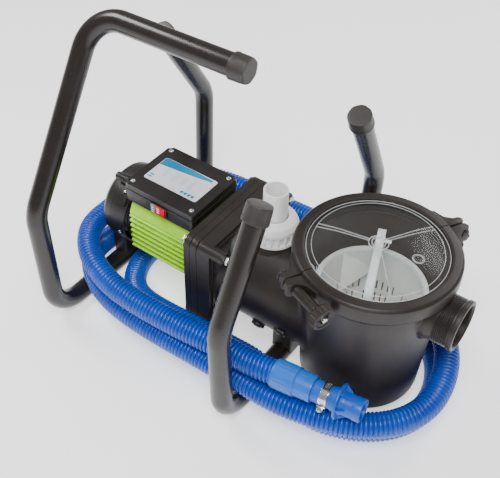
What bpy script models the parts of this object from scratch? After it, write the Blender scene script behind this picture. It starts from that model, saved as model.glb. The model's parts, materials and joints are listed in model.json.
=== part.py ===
"""Portable strainer pump on a carrying frame, with its coiled suction hose.

Metres, +Z up. The origin is on the floor, in the middle of the frame. The motor and pump axis
runs along +X, towards the strainer pot, and +Y is away from the side with the switch.
"""
import math

import bmesh
import bpy
import numpy as np
from mathutils import Matrix, Vector

# ---------------------------------------------------------------- driving dimensions
GAP = 0.0003                 # clearance between neighbouring pieces
CUTTER_PHASE = 0.043         # turns cutters so that their corners miss the corners of what they cut
AXIS_Z = 0.125               # height of the motor and pump axis

TUBE_R = 0.016               # frame tube, outside
TUBE_WALL = 0.002
TUBE_SIDES = 10
BAR_Z = TUBE_R * math.cos(math.pi / TUBE_SIDES)  # the floor bars stand on one flat of their section
REAR_X = -0.288              # plane of the rear frame tube
FRONT_X = 0.054              # plane of the front frame tube
CORNER_Y = 0.199             # floor corner of both frames
CORNER_FILLET = 0.055
ELBOW_FILLET = 0.070
HANDLE_FILLET = 0.055
REAR_ELBOW = (0.203, 0.233)  # (y, z) where an upright leans in
REAR_TOP = (0.1016, 0.3955)
FRONT_ELBOW = (0.2073, 0.2115)
FRONT_TOP = (0.1238, 0.3701)  # far upright of the front frame
NEAR_TOP = (0.1225, 0.3757)   # near one, a little longer
HANDLE = (0.040, 0.4942)     # (y, z) of the handle, on the near upright's own line
HANDLE_END = (-0.0313, -0.034)  # (x, y), the handle runs slightly inwards
CAP_R = 0.0185
CAP_LENGTH = 0.0250
CAP_FLOOR = 0.004

HOUSING_X = (-0.2380, -0.0985)
HOUSING_BORE = 0.0480
SHIELD_X = (-0.2475, -0.2385)
COVER_X = (-0.3040, -0.2480)
COVER_R = 0.0660
COVER_WALL = 0.0022
SHAFT_R = 0.0080
PLATE_X = (-0.0980, -0.0743)
FLANGE_X = (-0.0740, -0.0500)
PLATE_HALF_Y = 0.0940
PLATE_HALF_Z = 0.0860
PLATE_CORNER = 0.0160
BOLT_Y = 0.0830
BOLT_Z = 0.0750
BOSS_X = -0.0270

BARREL_R = 0.0785
BARREL_BORE = 0.0720
POT_X = 0.166
POT_R_LOW = 0.0900
POT_R_HIGH = 0.1000
POT_Z = (0.0300, 0.2360)
POT_WALL = 0.0045
COLLAR_R = 0.1070
COLLAR_TOP = 0.2540
PORT_Z = 0.2090
PORT_R = 0.0370
PORT_BORE = 0.0310
PORT_END = 0.3045
EYE_R = 0.0270               # suction passage from the pot to the impeller
DRAIN_X = 0.022
DRAIN_SIDE = (0, -0.8, -0.6)  # the drain plug points down the near side of the barrel

LID_R = 0.1070
LID_CLEAR_R = 0.0985
RING_R = 0.1155
RING_Z = (0.2460, 0.2760)
SPLIT_DEG = 240.0            # the two halves of the clamp ring meet here and opposite
EAR_R = 0.1310
EAR_DEPTH = 0.0130
CLAMP_Z = 0.2600
BASKET_R = 0.0780
BASKET_Z = (0.0640, 0.2000)
HANDLE_DEG = -69.5
BAIL_TOP = 0.2480
BAIL_HALF = 0.0705           # half the bail's span, just inside the basket's mouth

NECK_R = 0.0300
NECK_TOP = 0.2110
NUT_R = 0.0366
NUT_Z = (0.2055, 0.2447)
TAIL_R = 0.0185
TAIL_BORE = 0.0125
TAIL_TOP = 0.2920

BOX_X = (-0.2450, -0.1085)
BOX_HALF_Y = 0.0570
BOX_Z = (0.1860, 0.2060)
BOX_LID_TOP = 0.2205
BOX_WALL = 0.0030
SCREW_X = (-0.2355, -0.1190)
SCREW_Y = 0.0470

HOSE_R = 0.0185              # plain tube inside the corrugated outline
HOSE_POINTS = 68
CUFF_LENGTH = 0.0630
FITTING_LENGTH = 0.0740

# Centre of the hose: two and three quarter turns, laid anticlockwise from its plain end
# behind the pump, under the motor, to the end with the cuff.
HOSE_ROUTE = [
    (-0.06, 0.1225, 0.0505), (-0.113, 0.12, 0.041), (-0.175, 0.105, 0.026), (-0.225, 0.067, 0.02),
    (-0.2515, 0.005, 0.0196), (-0.24, -0.052, 0.021), (-0.2, -0.096, 0.033), (-0.14, -0.115, 0.048),
    (-0.07, -0.1155, 0.0535), (0, -0.113, 0.053), (0.056, -0.1135, 0.0535), (0.108, -0.1165, 0.0315),
    (0.15, -0.1215, 0.02), (0.2, -0.112, 0.0196), (0.252, -0.079, 0.0196), (0.283, -0.025, 0.0196),
    (0.283, 0.03, 0.0196), (0.256, 0.085, 0.0196), (0.208, 0.126, 0.0205), (0.15, 0.15, 0.028),
    (0.1, 0.1555, 0.044), (0.054, 0.1535, 0.0565), (-0.03, 0.165, 0.05), (-0.12, 0.164, 0.048),
    (-0.2, 0.156, 0.052), (-0.26, 0.133, 0.056), (-0.302, 0.093, 0.0545), (-0.3265, 0.042, 0.033),
    (-0.33, -0.005, 0.024), (-0.324, -0.052, 0.033), (-0.296, -0.099, 0.053), (-0.25, -0.134, 0.0545),
    (-0.19, -0.152, 0.053), (-0.12, -0.156, 0.052), (-0.05, -0.155, 0.053), (0.01, -0.1535, 0.054),
    (0.06, -0.1535, 0.055), (0.11, -0.1525, 0.055), (0.165, -0.144, 0.057), (0.218, -0.127, 0.058),
    (0.268, -0.089, 0.058), (0.294, -0.037, 0.058), (0.294, 0.018, 0.058), (0.274, 0.074, 0.059),
    (0.23, 0.123, 0.059), (0.17, 0.151, 0.068), (0.11, 0.16, 0.085), (0.054, 0.162, 0.0965),
    (-0.03, 0.169, 0.092), (-0.12, 0.168, 0.09), (-0.2, 0.162, 0.092), (-0.266, 0.137, 0.096),
    (-0.308, 0.096, 0.0955), (-0.328, 0.045, 0.089), (-0.33, -0.01, 0.087), (-0.3245, -0.062, 0.089),
    (-0.291, -0.108, 0.094), (-0.242, -0.138, 0.095), (-0.185, -0.152, 0.093), (-0.12, -0.154, 0.092),
    (-0.05, -0.151, 0.093), (0.015, -0.146, 0.094), (0.06, -0.145, 0.095), (0.103, -0.14, 0.098),
]

BLACK = (0.020, 0.018, 0.017)
PAINT = (0.008, 0.008, 0.008)
LIME = (0.30, 0.58, 0.020)
BLUE = (0.010, 0.085, 0.420)
PALE_BLUE = (0.035, 0.170, 0.560)
WHITE = (0.85, 0.85, 0.84)
STEEL = (0.62, 0.62, 0.62)
DARK_STEEL = (0.30, 0.30, 0.31)
CLEAR = (0.75, 0.77, 0.78)
RUBBER = (0.012, 0.012, 0.012)
RED = (0.62, 0.015, 0.020)
GREY = (0.42, 0.45, 0.48)
COPPER = (0.55, 0.24, 0.11)


# ---------------------------------------------------------------- making meshes
def material(name, colour, roughness=0.5, metallic=0.0, transmission=0.0):
    found = bpy.data.materials.get(name)
    if found:
        return found
    made = bpy.data.materials.new(name)
    made.use_nodes = True
    shader = made.node_tree.nodes["Principled BSDF"]
    shader.inputs["Base Color"].default_value = (*colour, 1.0)
    shader.inputs["Roughness"].default_value = roughness
    shader.inputs["Metallic"].default_value = metallic
    shader.inputs["Transmission Weight"].default_value = transmission
    return made


def add_object(name, mesh_data, finish):
    """Close a bmesh into an object with outward faces."""
    bmesh.ops.remove_doubles(mesh_data, verts=mesh_data.verts, dist=1e-6)
    bmesh.ops.recalc_face_normals(mesh_data, faces=mesh_data.faces)
    if mesh_data.calc_volume(signed=True) < 0:
        bmesh.ops.reverse_faces(mesh_data, faces=mesh_data.faces)
    mesh = bpy.data.meshes.new(name)
    mesh_data.to_mesh(mesh)
    mesh_data.free()
    mesh.shade_smooth()
    mesh.set_sharp_from_angle(angle=math.radians(35))
    mesh.materials.append(finish)
    made = bpy.data.objects.new(name, mesh)
    bpy.context.collection.objects.link(made)
    return made


def along(axis, origin):
    """Matrix that turns +Z to the axis and moves to the origin."""
    turn = Vector((0, 0, 1)).rotation_difference(Vector(axis)).to_matrix().to_4x4()
    return Matrix.Translation(Vector(origin)) @ turn


def lathe(name, profile, finish, axis=(0, 0, 1), origin=(0, 0, 0), sides=24, ring=True, phase=0.0):
    """Turn (radius, height) points round the axis. A ring's outline closes on itself."""
    shape = bmesh.new()
    rows = []
    for radius, height in profile:
        if radius < 1e-7:
            rows.append([shape.verts.new((0, 0, height))])
            continue
        row = []
        for k in range(sides):
            angle = 2 * math.pi * k / sides + phase
            row.append(shape.verts.new((radius * math.cos(angle), radius * math.sin(angle), height)))
        rows.append(row)
    pairs = list(zip(rows, rows[1:]))
    if ring:
        pairs.append((rows[-1], rows[0]))
    for low, high in pairs:
        for k in range(sides):
            j = (k + 1) % sides
            if len(low) == 1 and len(high) == 1:
                continue
            if len(low) == 1:
                shape.faces.new((low[0], high[j], high[k]))
            elif len(high) == 1:
                shape.faces.new((low[k], low[j], high[0]))
            else:
                shape.faces.new((low[k], low[j], high[j], high[k]))
    shape.transform(along(axis, origin))
    return add_object(name, shape, finish)


def prism(name, loops, depth, finish, frame):
    """Extrude 2-D loops (the first is the outline, the others are holes) along frame's +Z."""
    shape = bmesh.new()
    edges = []
    for loop in loops:
        points = [shape.verts.new((x, y, 0)) for x, y in loop]
        edges += [shape.edges.new((points[k - 1], points[k])) for k in range(len(points))]
    bmesh.ops.triangle_fill(shape, use_beauty=True, use_dissolve=False, edges=edges)
    grown = bmesh.ops.extrude_face_region(shape, geom=shape.faces[:])["geom"]
    moved = [item for item in grown if isinstance(item, bmesh.types.BMVert)]
    bmesh.ops.translate(shape, verts=moved, vec=(0, 0, depth))
    shape.transform(frame)
    return add_object(name, shape, finish)


def x_frame(start):
    """Prism frame whose depth runs along +X from start: 2-D x is world Y, 2-D y is world Z."""
    return Matrix(((0, 0, 1, start), (1, 0, 0, 0), (0, 1, 0, AXIS_Z), (0, 0, 0, 1)))


def block(name, low, high, finish, bevel=0.0):
    """Box between two corners, with its edges cut back by the bevel."""
    shape = bmesh.new()
    bmesh.ops.create_cube(shape, size=1.0)
    low, high = Vector(low), Vector(high)
    size = high - low
    for vert in shape.verts:
        vert.co = low + Vector([(c + 0.5) * s for c, s in zip(vert.co, size)])
    if bevel:
        bmesh.ops.bevel(shape, geom=shape.edges[:], offset=bevel, segments=1, affect="EDGES")
    return add_object(name, shape, finish)


def rounded(half_x, half_y, corner, steps=3):
    """Outline of a rectangle with round corners."""
    points = []
    for quarter, (sx, sy) in enumerate(((1, 1), (-1, 1), (-1, -1), (1, -1))):
        for k in range(steps + 1):
            angle = math.pi / 2 * (quarter + k / steps)
            points.append((sx * (half_x - corner) + corner * math.cos(angle),
                           sy * (half_y - corner) + corner * math.sin(angle)))
    return points


def circle(radius, sides, centre=(0, 0)):
    return [(centre[0] + radius * math.cos(2 * math.pi * k / sides),
             centre[1] + radius * math.sin(2 * math.pi * k / sides)) for k in range(sides)]


def is_closed(mesh):
    shape = bmesh.new()
    shape.from_mesh(mesh)
    closed = all(edge.is_manifold for edge in shape.edges)
    shape.free()
    return closed


def combine(target, others, operation):
    """Boolean the others into or out of the target, and keep only the result."""
    for other in others:
        for solver in ("EXACT", "MANIFOLD"):
            step = target.modifiers.new("combine", "BOOLEAN")
            step.operation = operation
            step.solver = solver
            step.object = other
            bpy.context.view_layer.update()
            solved = target.evaluated_get(bpy.context.evaluated_depsgraph_get())
            mesh = bpy.data.meshes.new_from_object(solved)
            target.modifiers.clear()
            if is_closed(mesh):
                break
        target.data = mesh
        bpy.data.objects.remove(other)
    mesh.shade_smooth()
    mesh.set_sharp_from_angle(angle=math.radians(35))
    return target


def cut(target, *others):
    return combine(target, others, "DIFFERENCE")


def join(target, *others):
    return combine(target, others, "UNION")


def drop(axis, centre, radius, length, sides=24, taper=None):
    """A plain cylinder, used as a cutter or as a lump to join."""
    top = radius if taper is None else taper
    return lathe("lump", [(0, 0), (radius, 0), (top, length), (0, length)],
                 material("pump_plastic", BLACK, 0.48), axis, centre, sides, ring=False,
                 phase=CUTTER_PHASE)


def pivot(name, place, *pieces):
    """Parent pieces to an empty that stands on their joint's axis."""
    empty = bpy.data.objects.new(name, None)
    empty.location = place
    bpy.context.collection.objects.link(empty)
    for piece in pieces:
        piece.parent = empty
        piece.matrix_parent_inverse = Matrix.Translation(-Vector(place))
    return empty


# ---------------------------------------------------------------- smooth paths
def fillet_path(corners, radii, steps=4):
    """Polyline through the corners, with each inner corner turned on an arc."""
    path = [Vector(corners[0])]
    for before, corner, after, radius in zip(corners, corners[1:], corners[2:], radii):
        before, corner, after = Vector(before), Vector(corner), Vector(after)
        back = (before - corner).normalized()
        ahead = (after - corner).normalized()
        half = back.angle(ahead) / 2
        reach = radius / math.tan(half)
        centre = corner + (back + ahead).normalized() * radius / math.sin(half)
        start = corner + back * reach - centre
        turn = math.pi - 2 * half
        spin = start.cross(corner + ahead * reach - centre).normalized()
        for k in range(steps + 1):
            path.append(centre + Matrix.Rotation(turn * k / steps, 3, spin) @ start)
    path.append(Vector(corners[-1]))
    return path


def frame_tube(name, path, finish, sides=TUBE_SIDES):
    """Hollow round tube swept along the path, open at both ends."""
    shape = bmesh.new()
    normal = Vector((1, 0, 0)) if abs((path[1] - path[0]).x) < 1e-6 else Vector((0, 0, 1))
    rows = []
    for k, point in enumerate(path):
        ahead = (path[min(k + 1, len(path) - 1)] - point).normalized() if k + 1 < len(path) else None
        behind = (point - path[k - 1]).normalized() if k else None
        if ahead is None:
            ahead = behind
        if behind is None:
            behind = ahead
        tangent = (ahead + behind).normalized()
        normal = (normal - tangent * normal.dot(tangent)).normalized()
        side = tangent.cross(normal)
        stretch = 1 / max(0.5, tangent.dot(ahead))
        row = []
        for radius in (TUBE_R, TUBE_R - TUBE_WALL):
            for j in range(sides):
                angle = 2 * math.pi * j / sides
                offset = normal * math.cos(angle) + side * math.sin(angle)
                row.append(shape.verts.new(point + offset * radius * (1 + (stretch - 1) * 0.5)))
        rows.append(row)
    for low, high in zip(rows, rows[1:]):
        for j in range(sides):
            i = (j + 1) % sides
            shape.faces.new((low[j], low[i], high[i], high[j]))
            shape.faces.new((low[sides + j], high[sides + j], high[sides + i], low[sides + i]))
    for row in (rows[0], rows[-1]):
        for j in range(sides):
            i = (j + 1) % sides
            shape.faces.new((row[j], row[i], row[sides + i], row[sides + j]))
    return add_object(name, shape, finish)


def smooth_curve(points, per_span=16):
    """Natural cubic spline through the points, as a fine polyline."""
    points = np.array(points, float)
    count = len(points)
    steps = np.linalg.norm(np.diff(points, axis=0), axis=1) ** 0.5
    knots = np.concatenate([[0], np.cumsum(steps)])
    system = np.eye(count)
    right = np.zeros((count, 3))
    for i in range(1, count - 1):
        system[i, i - 1:i + 2] = steps[i - 1], 2 * (steps[i - 1] + steps[i]), steps[i]
        right[i] = 6 * ((points[i + 1] - points[i]) / steps[i]
                        - (points[i] - points[i - 1]) / steps[i - 1])
    bend = np.linalg.solve(system, right)
    fine = []
    for i in range(count - 1):
        for u in np.linspace(knots[i], knots[i + 1], per_span, endpoint=False):
            a = knots[i + 1] - u
            b = u - knots[i]
            fine.append((bend[i] * a ** 3 + bend[i + 1] * b ** 3) / (6 * steps[i])
                        + (points[i] / steps[i] - bend[i] * steps[i] / 6) * a
                        + (points[i + 1] / steps[i] - bend[i + 1] * steps[i] / 6) * b)
    fine.append(points[-1])
    return np.array(fine)


def even_points(fine, count):
    """Points at even distances along a fine polyline."""
    run = np.concatenate([[0], np.cumsum(np.linalg.norm(np.diff(fine, axis=0), axis=1))])
    places = np.linspace(0, run[-1], count)
    return np.stack([np.interp(places, run, fine[:, k]) for k in range(3)], axis=1)


# ---------------------------------------------------------------- carrying frame
def make_frame():
    paint = material("frame_paint", PAINT, 0.35)
    rubber = material("cap_rubber", BLACK, 0.55)
    handle_y, handle_z = HANDLE
    rear = fillet_path(
        [(REAR_X, REAR_TOP[0], REAR_TOP[1]), (REAR_X, REAR_ELBOW[0], REAR_ELBOW[1]),
         (REAR_X, CORNER_Y, BAR_Z), (REAR_X, -CORNER_Y, BAR_Z),
         (REAR_X, -REAR_ELBOW[0], REAR_ELBOW[1]), (REAR_X, -handle_y, handle_z),
         (HANDLE_END[0], HANDLE_END[1], handle_z)],
        [ELBOW_FILLET, CORNER_FILLET, CORNER_FILLET, ELBOW_FILLET, HANDLE_FILLET])
    front = fillet_path(
        [(FRONT_X, FRONT_TOP[0], FRONT_TOP[1]), (FRONT_X, FRONT_ELBOW[0], FRONT_ELBOW[1]),
         (FRONT_X, CORNER_Y, BAR_Z), (FRONT_X, -CORNER_Y, BAR_Z),
         (FRONT_X, -FRONT_ELBOW[0], FRONT_ELBOW[1]), (FRONT_X, -NEAR_TOP[0], NEAR_TOP[1])],
        [ELBOW_FILLET, CORNER_FILLET, CORNER_FILLET, ELBOW_FILLET])
    frame_tube("frame_tube_rear", rear, paint)
    frame_tube("frame_tube_front", front, paint)
    for name, path in (("cap_rear_upright", rear), ("cap_handle", rear[::-1]),
                       ("cap_front_far", front), ("cap_front_near", front[::-1])):
        make_end_cap(name, path, rubber)


def make_end_cap(name, path, finish):
    """Cup pushed over a tube end, with a flat top and a turned-down rim."""
    outward = (path[0] - path[1]).normalized()
    bore = TUBE_R + 0.0007
    top = GAP + CAP_FLOOR
    mouth = top - CAP_LENGTH
    lathe(name, [(0, top), (CAP_R - 0.0026, top), (CAP_R - 0.0005, top - 0.0015), (CAP_R, top - 0.004),
                 (CAP_R, mouth), (bore, mouth), (bore, GAP), (0, GAP)],
          finish, outward, path[0], 12, ring=False)


def make_feet():
    """Saddles that carry the pump on the two floor bars, and their screws."""
    plastic = material("foot_plastic", BLACK, 0.55)
    rear = block("motor_saddle", (REAR_X - 0.014, -0.040, 0.020), (REAR_X + 0.014, 0.040, 0.086), plastic,
                 0.002)
    cut(rear, drop((1, 0, 0), (REAR_X - 0.03, 0, AXIS_Z), COVER_R + 0.0010, 0.06, 28),
        drop((0, 1, 0), (REAR_X, -0.08, BAR_Z), TUBE_R + GAP, 0.16))
    front = block("pump_saddle", (FRONT_X - 0.018, -0.045, 0.018), (FRONT_X + 0.018, 0.045, 0.080),
                  plastic, 0.002)
    cut(front, drop((1, 0, 0), (FRONT_X - 0.05, 0, AXIS_Z), BARREL_R + 0.0005, 0.10, 32),
        drop((0, 1, 0), (FRONT_X, -0.08, BAR_Z), TUBE_R + GAP, 0.16))


# ---------------------------------------------------------------- motor
def housing_outline():
    """Half section of the finned housing, mirrored: (y, z from the axis), anticlockwise."""
    fins = 7
    pitch = 0.0108
    root = 0.0545
    tip = 0.0612
    right = [(0.030, -0.0575), (0.050, -0.0475)]
    for k in range(fins):
        middle = (k - (fins - 1) / 2) * pitch - 0.0015
        right += [(root, middle - 0.0034), (tip, middle - 0.0018), (tip, middle + 0.0018),
                  (root, middle + 0.0034)]
    right += [(0.0600, 0.0365), (0.0490, 0.0570), (0.0440, 0.0600)]
    left = [(-y, z) for y, z in reversed(right)]
    return right + left


def make_motor():
    lime = material("motor_paint", LIME, 0.38)
    black = material("motor_black", BLACK, 0.45)
    steel = material("bright_steel", STEEL, 0.25, 1.0)
    iron = material("lamination", DARK_STEEL, 0.45, 1.0)
    prism("motor_housing", [housing_outline(), circle(HOUSING_BORE, 24)],
          HOUSING_X[1] - HOUSING_X[0], lime, x_frame(HOUSING_X[0]))
    slots = 12
    inner = []
    for k in range(slots):
        for part, radius in ((0.10, 0.0300), (0.42, 0.0300), (0.50, 0.0400), (0.98, 0.0400)):
            angle = 2 * math.pi * (k + part) / slots
            inner.append((radius * math.cos(angle), radius * math.sin(angle)))
    prism("stator", [circle(HOUSING_BORE - GAP * 2, 24), inner], 0.078, iron, x_frame(-0.206))
    rotor = lathe("rotor", [(SHAFT_R + GAP, -0.204), (0.0290, -0.204), (0.0290, -0.130),
                            (SHAFT_R + GAP, -0.130)], iron, (1, 0, 0), (0, 0, AXIS_Z), 18)
    shaft = lathe("motor_shaft", [(0, -0.290), (0.0058, -0.290), (0.0058, -0.2560), (SHAFT_R, -0.2555),
                          (SHAFT_R, 0.0140), (0.0060, 0.0170), (0, 0.0170)],
          steel, (1, 0, 0), (0, 0, AXIS_Z), 12, ring=False)
    for name, start in (("bearing_rear", -0.2455), ("bearing_front", -0.0950)):
        lathe(name, [(SHAFT_R + GAP, start), (0.0125, start), (0.0130, start + 0.0012),
                     (0.0160, start + 0.0012), (0.0165, start), (0.0195, start), (0.0195, start + 0.0110),
                     (SHAFT_R + GAP, start + 0.0110)], steel, (1, 0, 0), (0, 0, AXIS_Z), 14)
    lathe("rear_end_shield", [(0.0110, SHIELD_X[0]), (0.0600, SHIELD_X[0]), (0.0600, SHIELD_X[1]),
                              (0.0240, SHIELD_X[1]), (0.0240, SHIELD_X[1] + 0.0055),
                              (0.0198, SHIELD_X[1] + 0.0055), (0.0198, -0.2458), (0.0110, -0.2458)],
          black, (1, 0, 0), (0, 0, AXIS_Z), 24)
    make_fan_cover(black)
    pivot("shaft_pivot", (0, 0, AXIS_Z), shaft, rotor, make_cooling_fan(), make_impeller())


def make_cooling_fan():
    """Radial fan on the tail of the shaft, seven straight blades on a hub."""
    nylon = material("fan_nylon", GREY, 0.5)
    blades = 7
    half = 0.0013
    hub = 0.0140
    reach = 0.0540
    outline = []
    for k in range(blades):
        angle = 2 * math.pi * k / blades
        for radius, offset in ((hub, -half), (reach, -half), (reach, half), (hub, half)):
            outline.append((radius * math.cos(angle) - offset * math.sin(angle),
                            radius * math.sin(angle) + offset * math.cos(angle)))
        for turn in (0.55, 1.45):
            arc = angle + math.pi / blades * turn
            outline.append((hub * math.cos(arc), hub * math.sin(arc)))
    return prism("cooling_fan", [outline, circle(0.0061, 10)], 0.022, nylon, x_frame(-0.2840))


def make_fan_cover(black):
    start, end = COVER_X
    wall = COVER_WALL
    cover = lathe("fan_cover",
                  [(0.0130, start), (0.0430, start), (0.0560, start + 0.0030), (0.0630, start + 0.0090),
                   (COVER_R, start + 0.0190), (COVER_R, end), (COVER_R - wall, end),
                   (COVER_R - wall, start + 0.0190), (0.0612, start + 0.0104),
                   (0.0548, start + 0.0050), (0.0430, start + wall), (0.0130, start + wall)],
                  black, (1, 0, 0), (0, 0, AXIS_Z), 24)
    for k in range(6):
        angle = 2 * math.pi * (k + 0.5) / 6
        slot = block("slot", (-0.006, -0.0030, 0.0190), (0.006, 0.0030, 0.0390), black)
        slot.data.transform(Matrix.Translation((start, 0, AXIS_Z)) @ Matrix.Rotation(angle, 4, "X"))
        cut(cover, slot)


# ---------------------------------------------------------------- pump end
def make_bracket():
    """Square adapter plate between the motor and the volute, with its four through bolts."""
    black = material("pump_plastic", BLACK, 0.48)
    plate = prism("motor_bracket",
                  [rounded(PLATE_HALF_Y, PLATE_HALF_Z, PLATE_CORNER), circle(0.0198, 18)]
                  + [circle(0.0043, 10, (sy * BOLT_Y, sz * BOLT_Z)) for sy in (1, -1) for sz in (1, -1)],
                  PLATE_X[1] - PLATE_X[0], black, x_frame(PLATE_X[0]))
    recess = lathe("lump", [(0.0205, -0.0835), (0.0640, -0.0835), (0.0640, -0.0700), (0.0205, -0.0700)],
                   black,
                   (1, 0, 0), (0, 0, AXIS_Z), 24)
    cut(plate, recess)
    steel = material("bright_steel", STEEL, 0.25, 1.0)
    head = PLATE_X[0] - GAP
    nut = BOSS_X + GAP
    for k, (sy, sz) in enumerate(((-1, 1), (1, 1), (1, -1), (-1, -1))):
        lathe(f"through_bolt_{k + 1}",
              [(0, head - 0.0060), (0.0055, head - 0.0060), (0.0070, head - 0.0045), (0.0070, head),
               (0.0038, head), (0.0038, nut), (0.0068, nut), (0.0068, nut + 0.0055),
               (0.0036, nut + 0.0060), (0, nut + 0.0060)],
              steel, (1, 0, 0), (0, sy * BOLT_Y, AXIS_Z + sz * BOLT_Z), 10, ring=False)
    lathe("seal_plate", [(0.0170, -0.0722), (0.0700, -0.0722), (0.0700, -0.0650), (0.0300, -0.0650),
                         (0.0300, -0.0560), (0.0170, -0.0560)], black, (1, 0, 0), (0, 0, AXIS_Z), 24)
    lathe("mechanical_seal", [(SHAFT_R + GAP, -0.0700), (0.0150, -0.0700), (0.0150, -0.0560),
                              (0.0125, -0.0540),
                              (0.0125, -0.0420), (SHAFT_R + GAP, -0.0420)],
          material("seal_ceramic", GREY, 0.3), (1, 0, 0), (0, 0, AXIS_Z), 14)


def make_volute():
    """Square flange, round barrel that dies into the pot, and the discharge neck on top."""
    black = material("pump_plastic", BLACK, 0.48)
    body = lathe("volute_casing",
                 [(0, FLANGE_X[0] + 0.010), (0.0845, FLANGE_X[0] + 0.010), (0.0845, -0.0460),
                  (0.0795, -0.0410),
                  (BARREL_R, -0.0320), (BARREL_R, 0.1250), (0, 0.1250)],
                 black, (1, 0, 0), (0, 0, AXIS_Z), 32, ring=False)
    flange = prism("lump", [rounded(PLATE_HALF_Y, PLATE_HALF_Z, PLATE_CORNER)],
                   FLANGE_X[1] - FLANGE_X[0], black, x_frame(FLANGE_X[0]))
    bosses = [drop((1, 0, 0), (FLANGE_X[0] + 0.002, sy * BOLT_Y, AXIS_Z + sz * BOLT_Z), 0.0105,
                   BOSS_X - FLANGE_X[0] - 0.002, 10)
              for sy in (1, -1) for sz in (1, -1)]
    neck = drop((0, 0, 1), (0, 0, AXIS_Z), NECK_R, NECK_TOP - AXIS_Z, 28)
    join(body, flange, *bosses, neck)
    pot_side = drop((0, 0, 1), (POT_X, 0, POT_Z[0]), POT_R_LOW + 0.0006, POT_Z[1] - POT_Z[0], 48,
                    POT_R_HIGH + 0.0006)
    chamber = drop((1, 0, 0), (FLANGE_X[0] - 0.01, 0, AXIS_Z), BARREL_BORE, 0.0350 - FLANGE_X[0] + 0.01, 24)
    eye = drop((1, 0, 0), (0, 0, AXIS_Z), EYE_R, 0.2, 18)
    bore = drop((0, 0, 1), (0, 0, AXIS_Z + 0.02), TAIL_BORE + 0.003, 0.2, 14)
    holes = [drop((1, 0, 0), (-0.1, sy * BOLT_Y, AXIS_Z + sz * BOLT_Z), 0.0043, 0.1, 10)
             for sy in (1, -1) for sz in (1, -1)]
    groove = lathe("lump", [(0.0755, FLANGE_X[0] - 0.001), (0.0795, FLANGE_X[0] - 0.001),
                            (0.0795, FLANGE_X[0] + 0.0032), (0.0755, FLANGE_X[0] + 0.0032)],
                   black, (1, 0, 0), (0, 0, AXIS_Z), 24)
    drain = drop(DRAIN_SIDE, Vector((DRAIN_X, 0, AXIS_Z)) + Vector(DRAIN_SIDE) * 0.0600, 0.0066, 0.03, 12)
    cut(body, pot_side, chamber, eye, bore, groove, drain, *holes)
    lathe("volute_o_ring", [(0.0758, FLANGE_X[0] + 0.0003), (0.0792, FLANGE_X[0] + 0.0003),
                            (0.0792, FLANGE_X[0] + 0.0029), (0.0758, FLANGE_X[0] + 0.0029)],
          material("seal_rubber", RUBBER, 0.7), (1, 0, 0), (0, 0, AXIS_Z), 24)
    seat = Vector((DRAIN_X, 0, AXIS_Z)) + Vector(DRAIN_SIDE) * BARREL_R
    plug = lathe("drain_plug", [(0, -0.0080), (0.0058, -0.0080), (0.0058, 0.0012), (0.0105, 0.0012),
                         (0.0105, 0.0062), (0.0062, 0.0078), (0, 0.0078)],
                 black, DRAIN_SIDE, seat, 10, ring=False)
    pivot("drain_pivot", seat, plug)


def make_impeller():
    """Closed impeller on the shaft's end, and the diffuser ring round it."""
    noryl = material("impeller_noryl", GREY, 0.45)
    wheel = lathe("impeller", [(SHAFT_R + GAP, -0.0200), (0.0560, -0.0200), (0.0560, -0.0170),
                               (0.0180, -0.0165),
                               (0.0140, 0.0080), (SHAFT_R + GAP, 0.0080)],
                  noryl, (1, 0, 0), (0, 0, AXIS_Z), 20)
    vanes = 6
    for k in range(vanes):
        start = 2 * math.pi * k / vanes
        inner = []
        outer = []
        for step in range(5):
            share = step / 4
            radius = 0.0165 + (0.0545 - 0.0165) * share
            angle = start + 1.15 * share
            thick = 0.0012 / radius
            inner.append((radius * math.cos(angle - thick), radius * math.sin(angle - thick)))
            outer.append((radius * math.cos(angle + thick), radius * math.sin(angle + thick)))
        vane = prism("lump", [inner + outer[::-1]], 0.0120, noryl, x_frame(-0.0180))
        join(wheel, vane)
    shroud = lathe("lump", [(0.0240, -0.0070), (0.0560, -0.0070), (0.0560, -0.0045), (0.0265, -0.0045),
                            (0.0265, 0.0050), (0.0240, 0.0050)], noryl, (1, 0, 0), (0, 0, AXIS_Z), 20)
    join(wheel, shroud)
    lathe("diffuser", [(0.0600, -0.0240), (0.0705, -0.0240), (0.0705, 0.0040), (0.0640, 0.0100),
                       (0.0295, 0.0100),
                       (0.0295, 0.0070), (0.0600, 0.0040)],
          noryl, (1, 0, 0), (0, 0, AXIS_Z), 24)
    return wheel


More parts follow.
